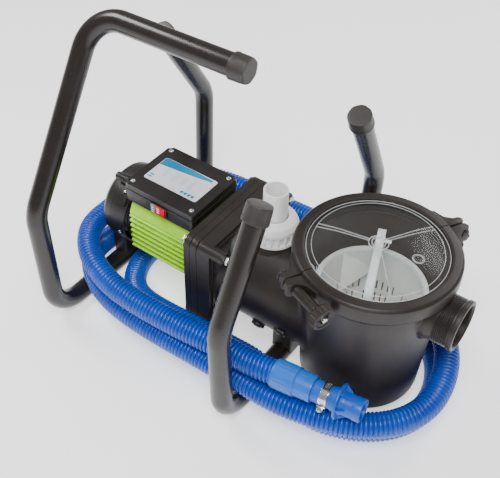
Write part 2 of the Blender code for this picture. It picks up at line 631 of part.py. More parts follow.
def make_discharge():
    """Union nut, flat washer and hose tail on the discharge neck."""
    white = material("white_plastic", WHITE, 0.42)
    rubber = material("seal_rubber", RUBBER, 0.7)
    lathe("union_washer", [(0.0160, NECK_TOP + GAP), (0.0280, NECK_TOP + GAP), (0.0280, NECK_TOP + 0.0026),
                           (0.0160, NECK_TOP + 0.0026)], rubber, (0, 0, 1), (0, 0, 0), 18)
    shoulder = NECK_TOP + 0.0029
    lathe("hose_tail", [(TAIL_BORE, shoulder), (0.0285, shoulder), (0.0285, shoulder + 0.0040),
                        (TAIL_R + 0.0015, shoulder + 0.0045), (TAIL_R, 0.2500),
                        (TAIL_R, TAIL_TOP - 0.0010), (TAIL_R - 0.0010, TAIL_TOP), (TAIL_BORE, TAIL_TOP)],
          white, (0, 0, 1), (0, 0, 0), 20)
    nut = lathe("union_nut", [(NECK_R + 0.0009, NUT_Z[0]), (NUT_R, NUT_Z[0]), (NUT_R, NUT_Z[0] + 0.0060),
                              (NUT_R - 0.0022, NUT_Z[0] + 0.0066), (NUT_R - 0.0022, NUT_Z[0] + 0.0175),
                              (NUT_R, NUT_Z[0] + 0.0182), (NUT_R, NUT_Z[1] - 0.0030),
                              (NUT_R - 0.0030, NUT_Z[1]), (0.0205, NUT_Z[1]), (0.0205, shoulder + 0.0052),
                              (NECK_R + 0.0009, shoulder + 0.0052)], white, (0, 0, 1), (0, 0, 0), 20)
    pivot("union_pivot", (0, 0, NUT_Z[0]), nut)


# ---------------------------------------------------------------- strainer
def make_pot():
    """Tapered pot with a collar, the threaded suction port and the passage to the impeller."""
    black = material("pump_plastic", BLACK, 0.48)
    low, high = POT_Z
    pot = lathe("strainer_pot",
                [(0, low), (POT_R_LOW - 0.004, low), (POT_R_LOW, low + 0.004), (POT_R_HIGH, high),
                 (COLLAR_R, high + 0.004),
                 (COLLAR_R, COLLAR_TOP), (0, COLLAR_TOP)],
                black, (0, 0, 1), (POT_X, 0, 0), 32, ring=False)
    lip = PORT_END - 0.0060
    port = lathe("lump", [(0, POT_X + 0.05), (PORT_R - 0.0015, POT_X + 0.05), (PORT_R - 0.0015, lip),
                          (PORT_R + 0.0006, lip),
                          (PORT_R + 0.0006, PORT_END), (0, PORT_END)],
                 black, (1, 0, 0), (0, 0, PORT_Z), 24, ring=False, phase=CUTTER_PHASE)
    join(pot, port)
    inside = lathe("lump", [(0, low + 0.006), (POT_R_LOW - POT_WALL, low + 0.006),
                            (POT_R_HIGH - POT_WALL, high), (POT_R_HIGH - POT_WALL, COLLAR_TOP + 0.01),
                            (0, COLLAR_TOP + 0.01)], black, (0, 0, 1), (POT_X, 0, 0), 32, ring=False)
    bore = drop((1, 0, 0), (POT_X + 0.05, 0, PORT_Z), PORT_BORE, 0.2, 20)
    eye = drop((1, 0, 0), (0, 0, AXIS_Z), EYE_R, POT_X - 0.02, 18)
    cut(pot, inside, bore, eye)


def make_basket():
    """Slotted basket with a rim, and a bail that swings on it."""
    white = material("basket_plastic", WHITE, 0.5)
    floor, rim = BASKET_Z
    wall = 0.0020
    basket = lathe("strainer_basket",
                   [(0, floor), (0.0640, floor), (BASKET_R - 0.0030, rim - 0.006), (0.0805, rim - 0.005),
                    (0.0805, rim),
                    (BASKET_R - 0.0030 - wall, rim), (0.0640 - wall, floor + wall), (0, floor + wall)],
                   white, (0, 0, 1), (POT_X, 0, 0), 28, ring=False)
    for k in range(8):
        slot = block("slot", (0.055, -0.0045, floor + 0.014), (0.095, 0.0045, rim - 0.030), white)
        turn = Matrix.Rotation(2 * math.pi * (k + 0.5) / 8, 4, "Z")
        slot.data.transform(Matrix.Translation((POT_X, 0, 0)) @ turn)
        cut(basket, slot)
    foot = rim + 0.0006
    arch = fillet_path([(-BAIL_HALF, 0, foot), (-BAIL_HALF, 0, BAIL_TOP), (BAIL_HALF, 0, BAIL_TOP),
                        (BAIL_HALF, 0, foot)],
                       [0.020, 0.020], steps=3)
    outline = [(p.x, p.z) for p in arch]
    inside = BAIL_HALF - 0.0022
    low = BAIL_TOP - 0.0022
    inner = fillet_path([(-inside, 0, foot), (-inside, 0, low), (inside, 0, low), (inside, 0, foot)],
                        [0.018, 0.018], steps=3)
    outline += [(p.x, p.z) for p in reversed(inner)]
    width = 0.012
    flat = Matrix(((1, 0, 0, 0), (0, 0, -1, width / 2), (0, 1, 0, 0), (0, 0, 0, 1)))
    bearing = Matrix.Rotation(math.radians(HANDLE_DEG), 4, "Z")
    bail = prism("basket_handle", [outline], width, white,
                 Matrix.Translation((POT_X, 0, 0)) @ bearing @ flat)
    pivot("basket_pivot", (POT_X, 0, 0), basket)
    pivot("bail_pivot", (POT_X, 0, BASKET_Z[1]), bail)


def make_lid():
    """Clear domed lid, its gasket and the two half rings that hold it."""
    clear = material("lid_clear", CLEAR, 0.08, 0.0, 0.9)
    rubber = material("seal_rubber", RUBBER, 0.7)
    lathe("lid_gasket", [(0.0975, COLLAR_TOP + GAP), (0.1045, COLLAR_TOP + GAP),
                         (0.1045, COLLAR_TOP + 0.0037),
                         (0.0975, COLLAR_TOP + 0.0037)], rubber, (0, 0, 1), (POT_X, 0, 0), 28)
    edge = COLLAR_TOP + 0.0040
    lid = lathe("pot_lid", [(0, 0.2670), (0.0500, 0.2655), (0.0900, 0.2610), (0.0940, edge),
                            (LID_R, edge), (LID_R, 0.2690), (0.0980, 0.2692), (0.0960, 0.2735),
                            (0.0880, 0.2765), (0.0500, 0.2815), (0.0110, 0.2835), (0.0090, 0.2890),
                            (0, 0.2895)], clear, (0, 0, 1), (POT_X, 0, 0), 28, ring=False)
    pivot("lid_pivot", (POT_X, 0, edge), lid,
          make_half_ring("clamp_ring_left", SPLIT_DEG - 180),
          make_half_ring("clamp_ring_right", SPLIT_DEG),
          make_knob_bolt(SPLIT_DEG),
          make_hinge_bolt(SPLIT_DEG - 180))


def make_half_ring(name, start):
    """Half of the clamp ring, from its split at start degrees, with an ear at each end."""
    black = material("pump_plastic", BLACK, 0.48)
    shape = bmesh.new()
    section = [(COLLAR_R + 0.0009, RING_Z[0]), (0.1125, RING_Z[0]), (RING_R, RING_Z[0] + 0.006),
               (RING_R, RING_Z[1] - 0.002), (RING_R - 0.002, RING_Z[1]), (LID_CLEAR_R + 0.001, RING_Z[1]),
               (LID_CLEAR_R, RING_Z[1] - 0.0015), (LID_CLEAR_R, 0.2696), (LID_R + 0.0008, 0.2696),
               (LID_R + 0.0008, 0.2565), (COLLAR_R + 0.0009, 0.2560)]
    steps = 14
    gap = 0.5
    rows = []
    for k in range(steps + 1):
        angle = math.radians(start + gap + (180 - 2 * gap) * k / steps)
        rows.append([shape.verts.new((POT_X + r * math.cos(angle), r * math.sin(angle), z)) for r,
                     z in section])
    for low, high in zip(rows, rows[1:]):
        for k in range(len(section)):
            j = (k + 1) % len(section)
            shape.faces.new((low[k], low[j], high[j], high[k]))
    shape.faces.new(rows[0])
    shape.faces.new(rows[-1][::-1])
    half = add_object(name, shape, black)
    for end, side in ((start, 1), (start + 180, -1)):
        radial, tangent = ear_axes(end)
        ear = block("lump", (0.1120, 0.0011, RING_Z[0] + 0.002), (0.1430, EAR_DEPTH, RING_Z[1] - 0.004),
                    black, 0.002)
        ear.data.transform(Matrix.Diagonal((1, side, 1, 1)))
        ear.data.transform(Matrix.Translation((POT_X, 0, 0)) @ Matrix.Rotation(math.radians(end), 4, "Z"))
        if side < 0:
            ear.data.flip_normals()
        join(half, ear)
        middle = Vector((POT_X, 0, CLAMP_Z)) + radial * EAR_R
        near = end == SPLIT_DEG
        axis = leaning_axis(end) if near else tangent
        cut(half, drop(axis, middle - axis * 0.05, 0.0070 if near else 0.0043, 0.10, 12))
    return half


def ear_axes(degrees):
    """Outward and tangent directions where the ring splits."""
    angle = math.radians(degrees)
    return Vector((math.cos(angle), math.sin(angle), 0)), Vector((-math.sin(angle), math.cos(angle), 0))


def leaning_axis(degrees):
    """Direction of the knob's bolt: off the tangent, inwards and slightly down."""
    radial, tangent = ear_axes(degrees)
    return (tangent * 0.983 - radial * 0.178 - Vector((0, 0, 0.040))).normalized()


def make_knob_bolt(degrees):
    """Bolt through the near ears, with a knurled hand knob on a long sleeve."""
    radial = ear_axes(degrees)[0]
    axis = leaning_axis(degrees)
    middle = Vector((POT_X, 0, CLAMP_Z)) + radial * EAR_R
    stand = EAR_DEPTH + 0.0023  # clears the ears' faces, which the bolt meets at a slant
    black = material("pump_plastic", BLACK, 0.48)
    bolt = lathe("clamp_bolt_near",
                 [(0, -stand - 0.0050), (0.0085, -stand - 0.0050), (0.0085, -stand), (0.0039, -stand),
                  (0.0039, 0.0755), (0, 0.0755)],
                 material("bright_steel", STEEL, 0.25, 1.0), axis, middle, 12, ring=False)
    teeth = 10
    outline = []
    for k in range(teeth):
        for part, radius in ((0.0, 0.0162), (0.42, 0.0162), (0.50, 0.0178), (0.92, 0.0178)):
            angle = 2 * math.pi * (k + part) / teeth
            outline.append((radius * math.cos(angle), radius * math.sin(angle)))
    grip = prism("clamp_knob", [outline, circle(0.0042, 12)], 0.0135, black,
                 along(axis, middle + axis * 0.0600))
    sleeve = lathe("lump", [(0.0042, 0), (0.0085, 0), (0.0075, 0.0460), (0.0042, 0.0460)], black, axis,
                   middle + axis * stand, 12)
    pivot("knob_pivot", middle, join(grip, sleeve))
    return bolt


def make_hinge_bolt(degrees):
    """Bolt and nut through the far ears, which the half rings open about."""
    radial, tangent = ear_axes(degrees)
    middle = Vector((POT_X, 0, CLAMP_Z)) + radial * EAR_R
    steel = material("bright_steel", STEEL, 0.25, 1.0)
    reach = EAR_DEPTH + GAP
    prism("clamp_nut_far", [circle(0.0080, 6), circle(0.0042, 12)], 0.0042, steel,
          along(tangent, middle + tangent * reach))
    return lathe("clamp_bolt_far",
                 [(0, -reach - 0.0050), (0.0085, -reach - 0.0050), (0.0085, -reach), (0.0039, -reach),
                  (0.0039, reach + 0.0055), (0, reach + 0.0055)], steel, tangent, middle, 12, ring=False)


# ---------------------------------------------------------------- terminal box
def make_terminal_box():
    black = material("box_plastic", BLACK, 0.42)
    chrome = material("screw_chrome", STEEL, 0.18, 1.0)
    low = (BOX_X[0], -BOX_HALF_Y, BOX_Z[0])
    tray = block("terminal_box", low, (BOX_X[1], BOX_HALF_Y, BOX_Z[1]), black, 0.002)
    wall = BOX_WALL
    cut(tray, block("lump", (BOX_X[0] + wall, -BOX_HALF_Y + wall, BOX_Z[0] + wall),
                    (BOX_X[1] - wall, BOX_HALF_Y - wall, BOX_Z[1] + 0.01), black))
    switch = (-0.1750, -BOX_HALF_Y, 0.1995)
    window = 0.0165
    cut(tray, block("lump", (switch[0] - window, -BOX_HALF_Y - 0.01, switch[2] - 0.0100),
                    (switch[0] + window, -BOX_HALF_Y + 0.01, switch[2] + 0.0200), black),
        drop((1, 0, 0), (BOX_X[0] - 0.01, -0.0300, 0.1960), 0.0065, 0.03, 12))
    floor = BOX_Z[1] + GAP
    cover = block("terminal_box_cover", (BOX_X[0] - 0.0015, -BOX_HALF_Y - 0.0015, floor),
                  (BOX_X[1] + 0.0015, BOX_HALF_Y + 0.0015, BOX_LID_TOP), black, 0.002)
    cut(cover, block("lump", (BOX_X[0] + wall, -BOX_HALF_Y + wall, floor - 0.01),
                     (BOX_X[1] - wall, BOX_HALF_Y - wall, BOX_LID_TOP - wall), black))
    cut(cover, block("lump", (switch[0] - window, -BOX_HALF_Y - 0.01, floor - 0.01),
                     (switch[0] + window, -BOX_HALF_Y + 0.0160, switch[2] + 0.0105), black))
    corners = [(x, y) for x in SCREW_X for y in (SCREW_Y, -SCREW_Y)]
    for k, (x, y) in enumerate(corners):
        lathe(f"cover_screw_{k + 1}",
              [(0, BOX_LID_TOP + 0.0030), (0.0026, BOX_LID_TOP + 0.0030), (0.0042, BOX_LID_TOP + 0.0014),
               (0.0042, BOX_LID_TOP + GAP), (0, BOX_LID_TOP + GAP)],
              chrome, (0, 0, 1), (x, y, 0), 12, ring=False)
    block("label_plate", (-0.2290, -0.0300, BOX_LID_TOP + GAP), (-0.1255, 0.0290, BOX_LID_TOP + 0.0011),
          material("label_film", WHITE, 0.3))
    make_switch(switch, window)
    make_gland()
    lathe("capacitor", [(0, -0.2330), (0.0105, -0.2330), (0.0115, -0.2320), (0.0115, -0.1900),
                        (0, -0.1900)],
          material("capacitor_case", GREY, 0.35), (1, 0, 0), (0, 0.0300, 0.2035), 12, ring=False)
    block("terminal_block", (-0.1500, -0.0200, BOX_Z[0] + wall + GAP), (-0.1250, 0.0350, BOX_Z[0] + 0.0150),
          material("terminal_nylon", WHITE, 0.5), 0.0006)


def make_switch(place, window):
    """Rocker switch: a bezel in the box wall and the rocker that tips in it."""
    bezel_finish = material("switch_grey", GREY, 0.25)
    x, y, z = place
    half_z = 0.0095
    bezel = block("switch_bezel", (x - window + GAP, y - 0.0025, z - half_z),
                  (x + window - GAP, y + 0.0150, z + half_z), bezel_finish, 0.0008)
    cut(bezel, block("lump", (x - 0.0135, y - 0.01, z - 0.0068), (x + 0.0135, y + 0.0110, z + 0.0068),
                     bezel_finish))
    outline = [(-0.0118, 0.0020), (0.0118, 0.0020), (0.0118, -0.0035), (0.0060, -0.0040), (0.0, -0.0052),
               (-0.0060, -0.0075), (-0.0118, -0.0093)]
    flat = Matrix(((1, 0, 0, x), (0, 1, 0, y + 0.0032), (0, 0, 1, z - 0.0064), (0, 0, 0, 1)))
    rocker = prism("switch_rocker", [outline], 0.0128, material("switch_red", RED, 0.3), flat)
    pivot("rocker_pivot", (x, y + 0.0030, z), rocker)


def make_gland():
    """Cable gland on the rear wall of the box; its bore is empty."""
    finish = material("gland_nylon", BLACK, 0.5)
    lathe("cable_gland", [(0.0045, -0.2445), (0.0062, -0.2445), (0.0062, BOX_X[0] - GAP),
                          (0.0105, BOX_X[0] - GAP), (0.0105, -0.2510), (0.0092, -0.2520),
                          (0.0092, -0.2620), (0.0075, -0.2680), (0.0066, -0.2860), (0.0045, -0.2860)],
          finish, (1, 0, 0), (0, -0.0300, 0.1960), 12)


# ---------------------------------------------------------------- hose
def make_hose():
    blue = material("hose_blue", BLUE, 0.4)
    pale = material("cuff_blue", PALE_BLUE, 0.3)
    chrome = material("screw_chrome", STEEL, 0.18, 1.0)
    points = even_points(smooth_curve(HOSE_ROUTE), HOSE_POINTS)
    curve = bpy.data.curves.new("hose", "CURVE")
    curve.dimensions = "3D"
    curve.bevel_depth = HOSE_R
    curve.bevel_resolution = 2
    curve.use_fill_caps = True
    line = curve.splines.new("POLY")
    line.points.add(len(points) - 1)
    for spot, point in zip(line.points, points):
        spot.co = (*point, 1.0)
    hose = bpy.data.objects.new("hose", curve)
    curve.materials.append(blue)
    bpy.context.collection.objects.link(hose)

    tail = Vector(points[0])
    back = (tail - Vector(points[1])).normalized()
    lathe("hose_end_sleeve", [(0.0150, GAP), (0.0205, GAP), (0.0205, 0.0280), (0.0185, 0.0300),
                              (0.0185, 0.0480), (0.0150, 0.0480)],
          pale, back, tail, 14)
    head = Vector(points[-1])
    out = (head - Vector(points[-2])).normalized()
    reach = CUFF_LENGTH
    lathe("hose_cuff", [(0.0150, GAP), (0.0215, GAP), (0.0222, 0.0030), (0.0222, reach * 0.60),
                        (0.0198, reach * 0.62),
                        (0.0198, reach), (0.0150, reach)], pale, out, head, 18)
    span = FITTING_LENGTH
    start = head + out * CUFF_LENGTH
    lathe("hose_fitting", [(0.0125, GAP), (0.0168, GAP), (0.0168, 0.0290), (0.0180, 0.0300),
                           (0.0180, 0.0380), (0.0255, 0.0385), (0.0268, 0.0400), (0.0255, 0.0450),
                           (0.0200, 0.0570), (0.0170, 0.0620), (0.0170, span), (0.0125, span)], blue, out,
          start, 18)
    band = lathe("hose_clamp", [(0.0171, 0.0130), (0.0183, 0.0130), (0.0183, 0.0250), (0.0171, 0.0250)],
                 chrome, out, start, 18)
    side = out.cross(Vector((0, 0, 1))).normalized()
    low = (side * 0.8 - Vector((0, 0, 0.6))).normalized()
    middle = start + out * 0.0190 + low * 0.0212
    across = out.cross(low).normalized()
    screw = lathe("lump", [(0, -0.0110), (0.0036, -0.0110), (0.0036, 0.0070), (0.0046, 0.0072),
                           (0.0046, 0.0110), (0, 0.0110)],
                  chrome, across, middle, 10, ring=False)
    join(band, screw)


# ---------------------------------------------------------------- build
for old in list(bpy.data.objects):
    bpy.data.objects.remove(old)
make_frame()
make_feet()
make_motor()
make_bracket()
make_volute()
make_discharge()
make_pot()
make_basket()
make_lid()
make_terminal_box()
make_hose()
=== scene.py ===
"""Looks of the portable strainer pump: finer pieces and finishes over its CAD frame.

Metres, +Z up, in the same frame as the CAD. +X runs along the motor shaft towards the strainer
pot, and -Y is the near side, with the switch. Pieces ride on the CAD bodies, so they move with
the joints.
"""

import json
import math

import bmesh
import bpy
import numpy as np
from mathutils import Matrix, Vector


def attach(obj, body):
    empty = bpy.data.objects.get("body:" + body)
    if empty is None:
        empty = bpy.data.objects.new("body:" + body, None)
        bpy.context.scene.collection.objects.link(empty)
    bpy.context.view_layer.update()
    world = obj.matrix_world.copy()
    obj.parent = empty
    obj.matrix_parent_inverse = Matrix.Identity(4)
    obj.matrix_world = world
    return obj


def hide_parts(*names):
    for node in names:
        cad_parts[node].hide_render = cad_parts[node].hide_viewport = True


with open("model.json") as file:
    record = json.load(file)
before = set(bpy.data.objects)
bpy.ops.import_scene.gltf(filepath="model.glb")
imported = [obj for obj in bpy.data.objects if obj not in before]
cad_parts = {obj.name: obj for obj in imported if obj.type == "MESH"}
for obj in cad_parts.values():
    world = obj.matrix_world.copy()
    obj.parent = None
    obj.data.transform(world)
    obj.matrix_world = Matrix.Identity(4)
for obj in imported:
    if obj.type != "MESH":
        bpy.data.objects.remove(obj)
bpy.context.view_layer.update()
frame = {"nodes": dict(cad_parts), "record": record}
NODES = frame["nodes"]

# ---------------------------------------------------------------- dimensions shared with the CAD
AXIS_Z = 0.125               # height of the motor and pump axis
TUBE_R = 0.016
BAR_Z = 0.01522              # centre height of the floor bars
REAR_X = -0.288
FRONT_X = 0.054
CORNER_Y = 0.199
CORNER_FILLET = 0.055
ELBOW_FILLET = 0.070
HANDLE_FILLET = 0.055
REAR_ELBOW = (0.203, 0.233)
REAR_TOP = (0.1016, 0.3955)
FRONT_ELBOW = (0.2073, 0.2115)
FRONT_TOP = (0.1238, 0.3701)
NEAR_TOP = (0.1225, 0.3757)
HANDLE = (-0.040, 0.4942)
HANDLE_END = (-0.0313, -0.034)
CAP_R = 0.0185
CAP_LENGTH = 0.0250
CAP_SIDES = 7                # flats round the crown of an end cap

HOUSING_X = (-0.2380, -0.0985)
COVER_X = (-0.3040, -0.2480)
COVER_R = 0.0660
FINS = 7                     # on each side of the motor housing
FIN_PITCH = 0.0108
FAN_BLADES = 7
COVER_SLOTS = 18             # in each of two rings
PLATE_X = (-0.0980, -0.0743)
FLANGE_X = (-0.0740, -0.0500)
PLATE_HALF = (0.0940, 0.0860)
PLATE_CORNER = 0.0160
BOLT_Y = 0.0830
BOLT_Z = 0.0750
BOSS_X = -0.0270
HEX_R = 0.0068               # through-bolt heads and nuts, to a corner

BARREL_R = 0.0785
POT_X = 0.166
POT_R_LOW = 0.0900
POT_R_HIGH = 0.1000
POT_Z = (0.0300, 0.2360)
POT_WALL = 0.0045
COLLAR_R = 0.1070
COLLAR_TOP = 0.2540
PORT_Z = 0.2090
PORT_R = 0.0370
PORT_BORE = 0.0310
PORT_END = 0.3045
EYE_R = 0.0270
DRAIN_X = 0.022
DRAIN_SIDE = Vector((0, -0.8, -0.6))

LID_R = 0.1070
LID_CLEAR_R = 0.0985
RING_R = 0.1155
RING_Z = (0.2460, 0.2760)
SPLIT_DEG = 240.0
EAR_R = 0.1310
EAR_DEPTH = 0.0130
CLAMP_Z = 0.2600
CLAMP_BOLT_R = 0.0039
KNOB_RIDGES = 26
KNOB_SPOKES = 3
BASKET_Z = (0.0640, 0.2000)
HANDLE_DEG = -69.5
BAIL_TOP = 0.2480
BAIL_HALF = 0.0705

NECK_R = 0.0300
NECK_TOP = 0.2110
NUT_R = 0.0366
NUT_Z = (0.2055, 0.2447)
TAIL_R = 0.0185
TAIL_BORE = 0.0125
TAIL_TOP = 0.2920
NUT_RIBS = 20

BOX_X = (-0.2450, -0.1085)
BOX_HALF_Y = 0.0570
BOX_Z = (0.1860, 0.2060)
BOX_LID_TOP = 0.2205
SCREW_X = (-0.2355, -0.1190)
SCREW_Y = 0.0470
SWITCH = Vector((-0.1750, -0.0570, 0.1995))
WINDOW_HALF = 0.0164         # half the width of the switch opening
PLATE_MIDDLE_X = -0.1772     # rating plate

HOSE_R = 0.01925             # over the ribs
HOSE_GROOVE = 0.01660
HOSE_PITCH = 0.0063
HOSE_SIDES = 32
FINE_POINTS = 3000           # along the whole hose, for its shape
CORD_POINTS = 68             # along the whole hose, for its ends
SLEEVE_BEADS = 3
SLEEVE_BEAD_STEP = 0.007
BAND_TEETH = 44
FITTING_WEBS = 6
CUFF_LENGTH = 0.0630
FITTING_LENGTH = 0.0740

SHARP_DEG = 32.0             # edges steeper than this stay crisp

HOSE_ROUTE = [               # centre line, from the plain end to the cuff
    (-0.06, 0.1225, 0.0505), (-0.113, 0.12, 0.041), (-0.175, 0.105, 0.026), (-0.225, 0.067, 0.02),
    (-0.2515, 0.005, 0.0196), (-0.24, -0.052, 0.021), (-0.2, -0.096, 0.033), (-0.14, -0.115, 0.048),
    (-0.07, -0.1155, 0.0535), (0, -0.113, 0.053), (0.056, -0.1135, 0.0535), (0.108, -0.1165, 0.0315),
    (0.15, -0.1215, 0.02), (0.2, -0.112, 0.0196), (0.252, -0.079, 0.0196), (0.283, -0.025, 0.0196),
    (0.283, 0.03, 0.0196), (0.256, 0.085, 0.0196), (0.208, 0.126, 0.0205), (0.15, 0.15, 0.028),
    (0.1, 0.1555, 0.044), (0.054, 0.1535, 0.0565), (-0.03, 0.165, 0.05), (-0.12, 0.164, 0.048),
    (-0.2, 0.156, 0.052), (-0.26, 0.133, 0.056), (-0.302, 0.093, 0.0545), (-0.3265, 0.042, 0.033),
    (-0.33, -0.005, 0.024), (-0.324, -0.052, 0.033), (-0.296, -0.099, 0.053), (-0.25, -0.134, 0.0545),
    (-0.19, -0.152, 0.053), (-0.12, -0.156, 0.052), (-0.05, -0.155, 0.053), (0.01, -0.1535, 0.054),
    (0.06, -0.1535, 0.055), (0.11, -0.1525, 0.055), (0.165, -0.144, 0.057), (0.218, -0.127, 0.058),
    (0.268, -0.089, 0.058), (0.294, -0.037, 0.058), (0.294, 0.018, 0.058), (0.274, 0.074, 0.059),
    (0.23, 0.123, 0.059), (0.17, 0.151, 0.068), (0.11, 0.16, 0.085), (0.054, 0.162, 0.0965),
    (-0.03, 0.169, 0.092), (-0.12, 0.168, 0.09), (-0.2, 0.162, 0.092), (-0.266, 0.137, 0.096),
    (-0.308, 0.096, 0.0955), (-0.328, 0.045, 0.089), (-0.33, -0.01, 0.087), (-0.3245, -0.062, 0.089),
    (-0.291, -0.108, 0.094), (-0.242, -0.138, 0.095), (-0.185, -0.152, 0.093), (-0.12, -0.154, 0.092),
    (-0.05, -0.151, 0.093), (0.015, -0.146, 0.094), (0.06, -0.145, 0.095), (0.103, -0.14, 0.098),
]


# ---------------------------------------------------------------- finishes
EVEN = (1, 1, 1)


def node(tree, kind, inputs=None, **settings):
    """A shader node with its input values and settings."""
    made = tree.nodes.new(kind)
    for key, value in settings.items():
        setattr(made, key, value)
    for key, value in (inputs or {}).items():
        made.inputs[key].default_value = value
    return made


def start_material(name, roughness, **sockets):
    """A Principled material, with the coordinates of the object ready to use."""
    made = bpy.data.materials.new(name)
    made.use_nodes = True
    tree = made.node_tree
    shader = tree.nodes["Principled BSDF"]
    shader.inputs["Roughness"].default_value = roughness
    for key, value in sockets.items():
        shader.inputs[key.replace("_", " ")].default_value = value
    place = node(tree, "ShaderNodeTexCoord")
    return made, tree, shader, place.outputs["Object"]


def mottle(tree, place, target, low, high, scale, stretch=EVEN):
    """Drive a colour from a soft noise between two values."""
    mapping = node(tree, "ShaderNodeMapping", {"Scale": stretch})
    noise = node(tree, "ShaderNodeTexNoise", {"Scale": scale, "Detail": 4.0, "Roughness": 0.6})
    ramp = node(tree, "ShaderNodeValToRGB")
    ramp.color_ramp.elements[0].position = 0.32
    ramp.color_ramp.elements[0].color = (*low, 1.0)
    ramp.color_ramp.elements[1].position = 0.70
    ramp.color_ramp.elements[1].color = (*high, 1.0)
    tree.links.new(place, mapping.inputs["Vector"])
    tree.links.new(mapping.outputs["Vector"], noise.inputs["Vector"])
    tree.links.new(noise.outputs["Fac"], ramp.inputs["Fac"])
    tree.links.new(ramp.outputs["Color"], target)


def vary_roughness(tree, place, shader, low, high, scale, stretch=EVEN):
    """Drive the roughness from a soft noise between two values."""
    mapping = node(tree, "ShaderNodeMapping", {"Scale": stretch})
    noise = node(tree, "ShaderNodeTexNoise", {"Scale": scale, "Detail": 5.0, "Roughness": 0.65})
    spread = node(tree, "ShaderNodeMapRange", {"From Min": 0.3, "From Max": 0.7, "To Min": low,
        "To Max": high})
    tree.links.new(place, mapping.inputs["Vector"])
    tree.links.new(mapping.outputs["Vector"], noise.inputs["Vector"])
    tree.links.new(noise.outputs["Fac"], spread.inputs["Value"])
    tree.links.new(spread.outputs["Result"], shader.inputs["Roughness"])


def grain(tree, place, shader, layers):
    """Bump from layers of (noise scale, height in metres, stretch)."""
    normal = None
    for scale, height, stretch in layers:
        mapping = node(tree, "ShaderNodeMapping", {"Scale": stretch})
        noise = node(tree, "ShaderNodeTexNoise", {"Scale": scale, "Detail": 3.0, "Roughness": 0.55})
        bump = node(tree, "ShaderNodeBump", {"Strength": 1.0, "Distance": height})
        tree.links.new(place, mapping.inputs["Vector"])
        tree.links.new(mapping.outputs["Vector"], noise.inputs["Vector"])
        tree.links.new(noise.outputs["Fac"], bump.inputs["Height"])
        if normal:
            tree.links.new(normal, bump.inputs["Normal"])
        normal = bump.outputs["Normal"]
    tree.links.new(normal, shader.inputs["Normal"])


def moulded(name, low, high, rough, fine, sockets=None, scale=28.0, waves=0.0):
    """Moulded plastic or rubber: slow flow marks in the colour, fine grain in the surface."""
    made, tree, shader, place = start_material(name, rough[0], **(sockets or {}))
    mottle(tree, place, shader.inputs["Base Color"], low, high, scale)
    vary_roughness(tree, place, shader, rough[0], rough[1], scale * 1.7)
    layers = [(fine[0], fine[1], EVEN)]
    if waves:
        layers.insert(0, (38.0, waves, EVEN))
    grain(tree, place, shader, layers)
    return made


def metal(name, low, high, rough, stretch, streak):
    """Metal with brushed or turned streaks along one direction."""
    made, tree, shader, place = start_material(name, rough[0], Metallic=1.0)
    mottle(tree, place, shader.inputs["Base Color"], low, high, 90.0, stretch=stretch)
    vary_roughness(tree, place, shader, rough[0], rough[1], 260.0, stretch)
    grain(tree, place, shader, [(700.0, streak, stretch)])
    return made


def laminated(name):
    """Stacked steel sheets, half a millimetre each, along the motor shaft."""
    made, tree, shader, place = start_material(name, 0.45, Metallic=1.0)
    mottle(tree, place, shader.inputs["Base Color"], (0.20, 0.20, 0.21), (0.34, 0.34, 0.35), 60.0)
    wave = node(tree, "ShaderNodeTexWave", {"Scale": 320.0, "Distortion": 0.4}, bands_direction="X")
    bump = node(tree, "ShaderNodeBump", {"Strength": 0.8, "Distance": 0.0002})
    tree.links.new(place, wave.inputs["Vector"])
    tree.links.new(wave.outputs["Fac"], bump.inputs["Height"])
    tree.links.new(bump.outputs["Normal"], shader.inputs["Normal"])
    return made


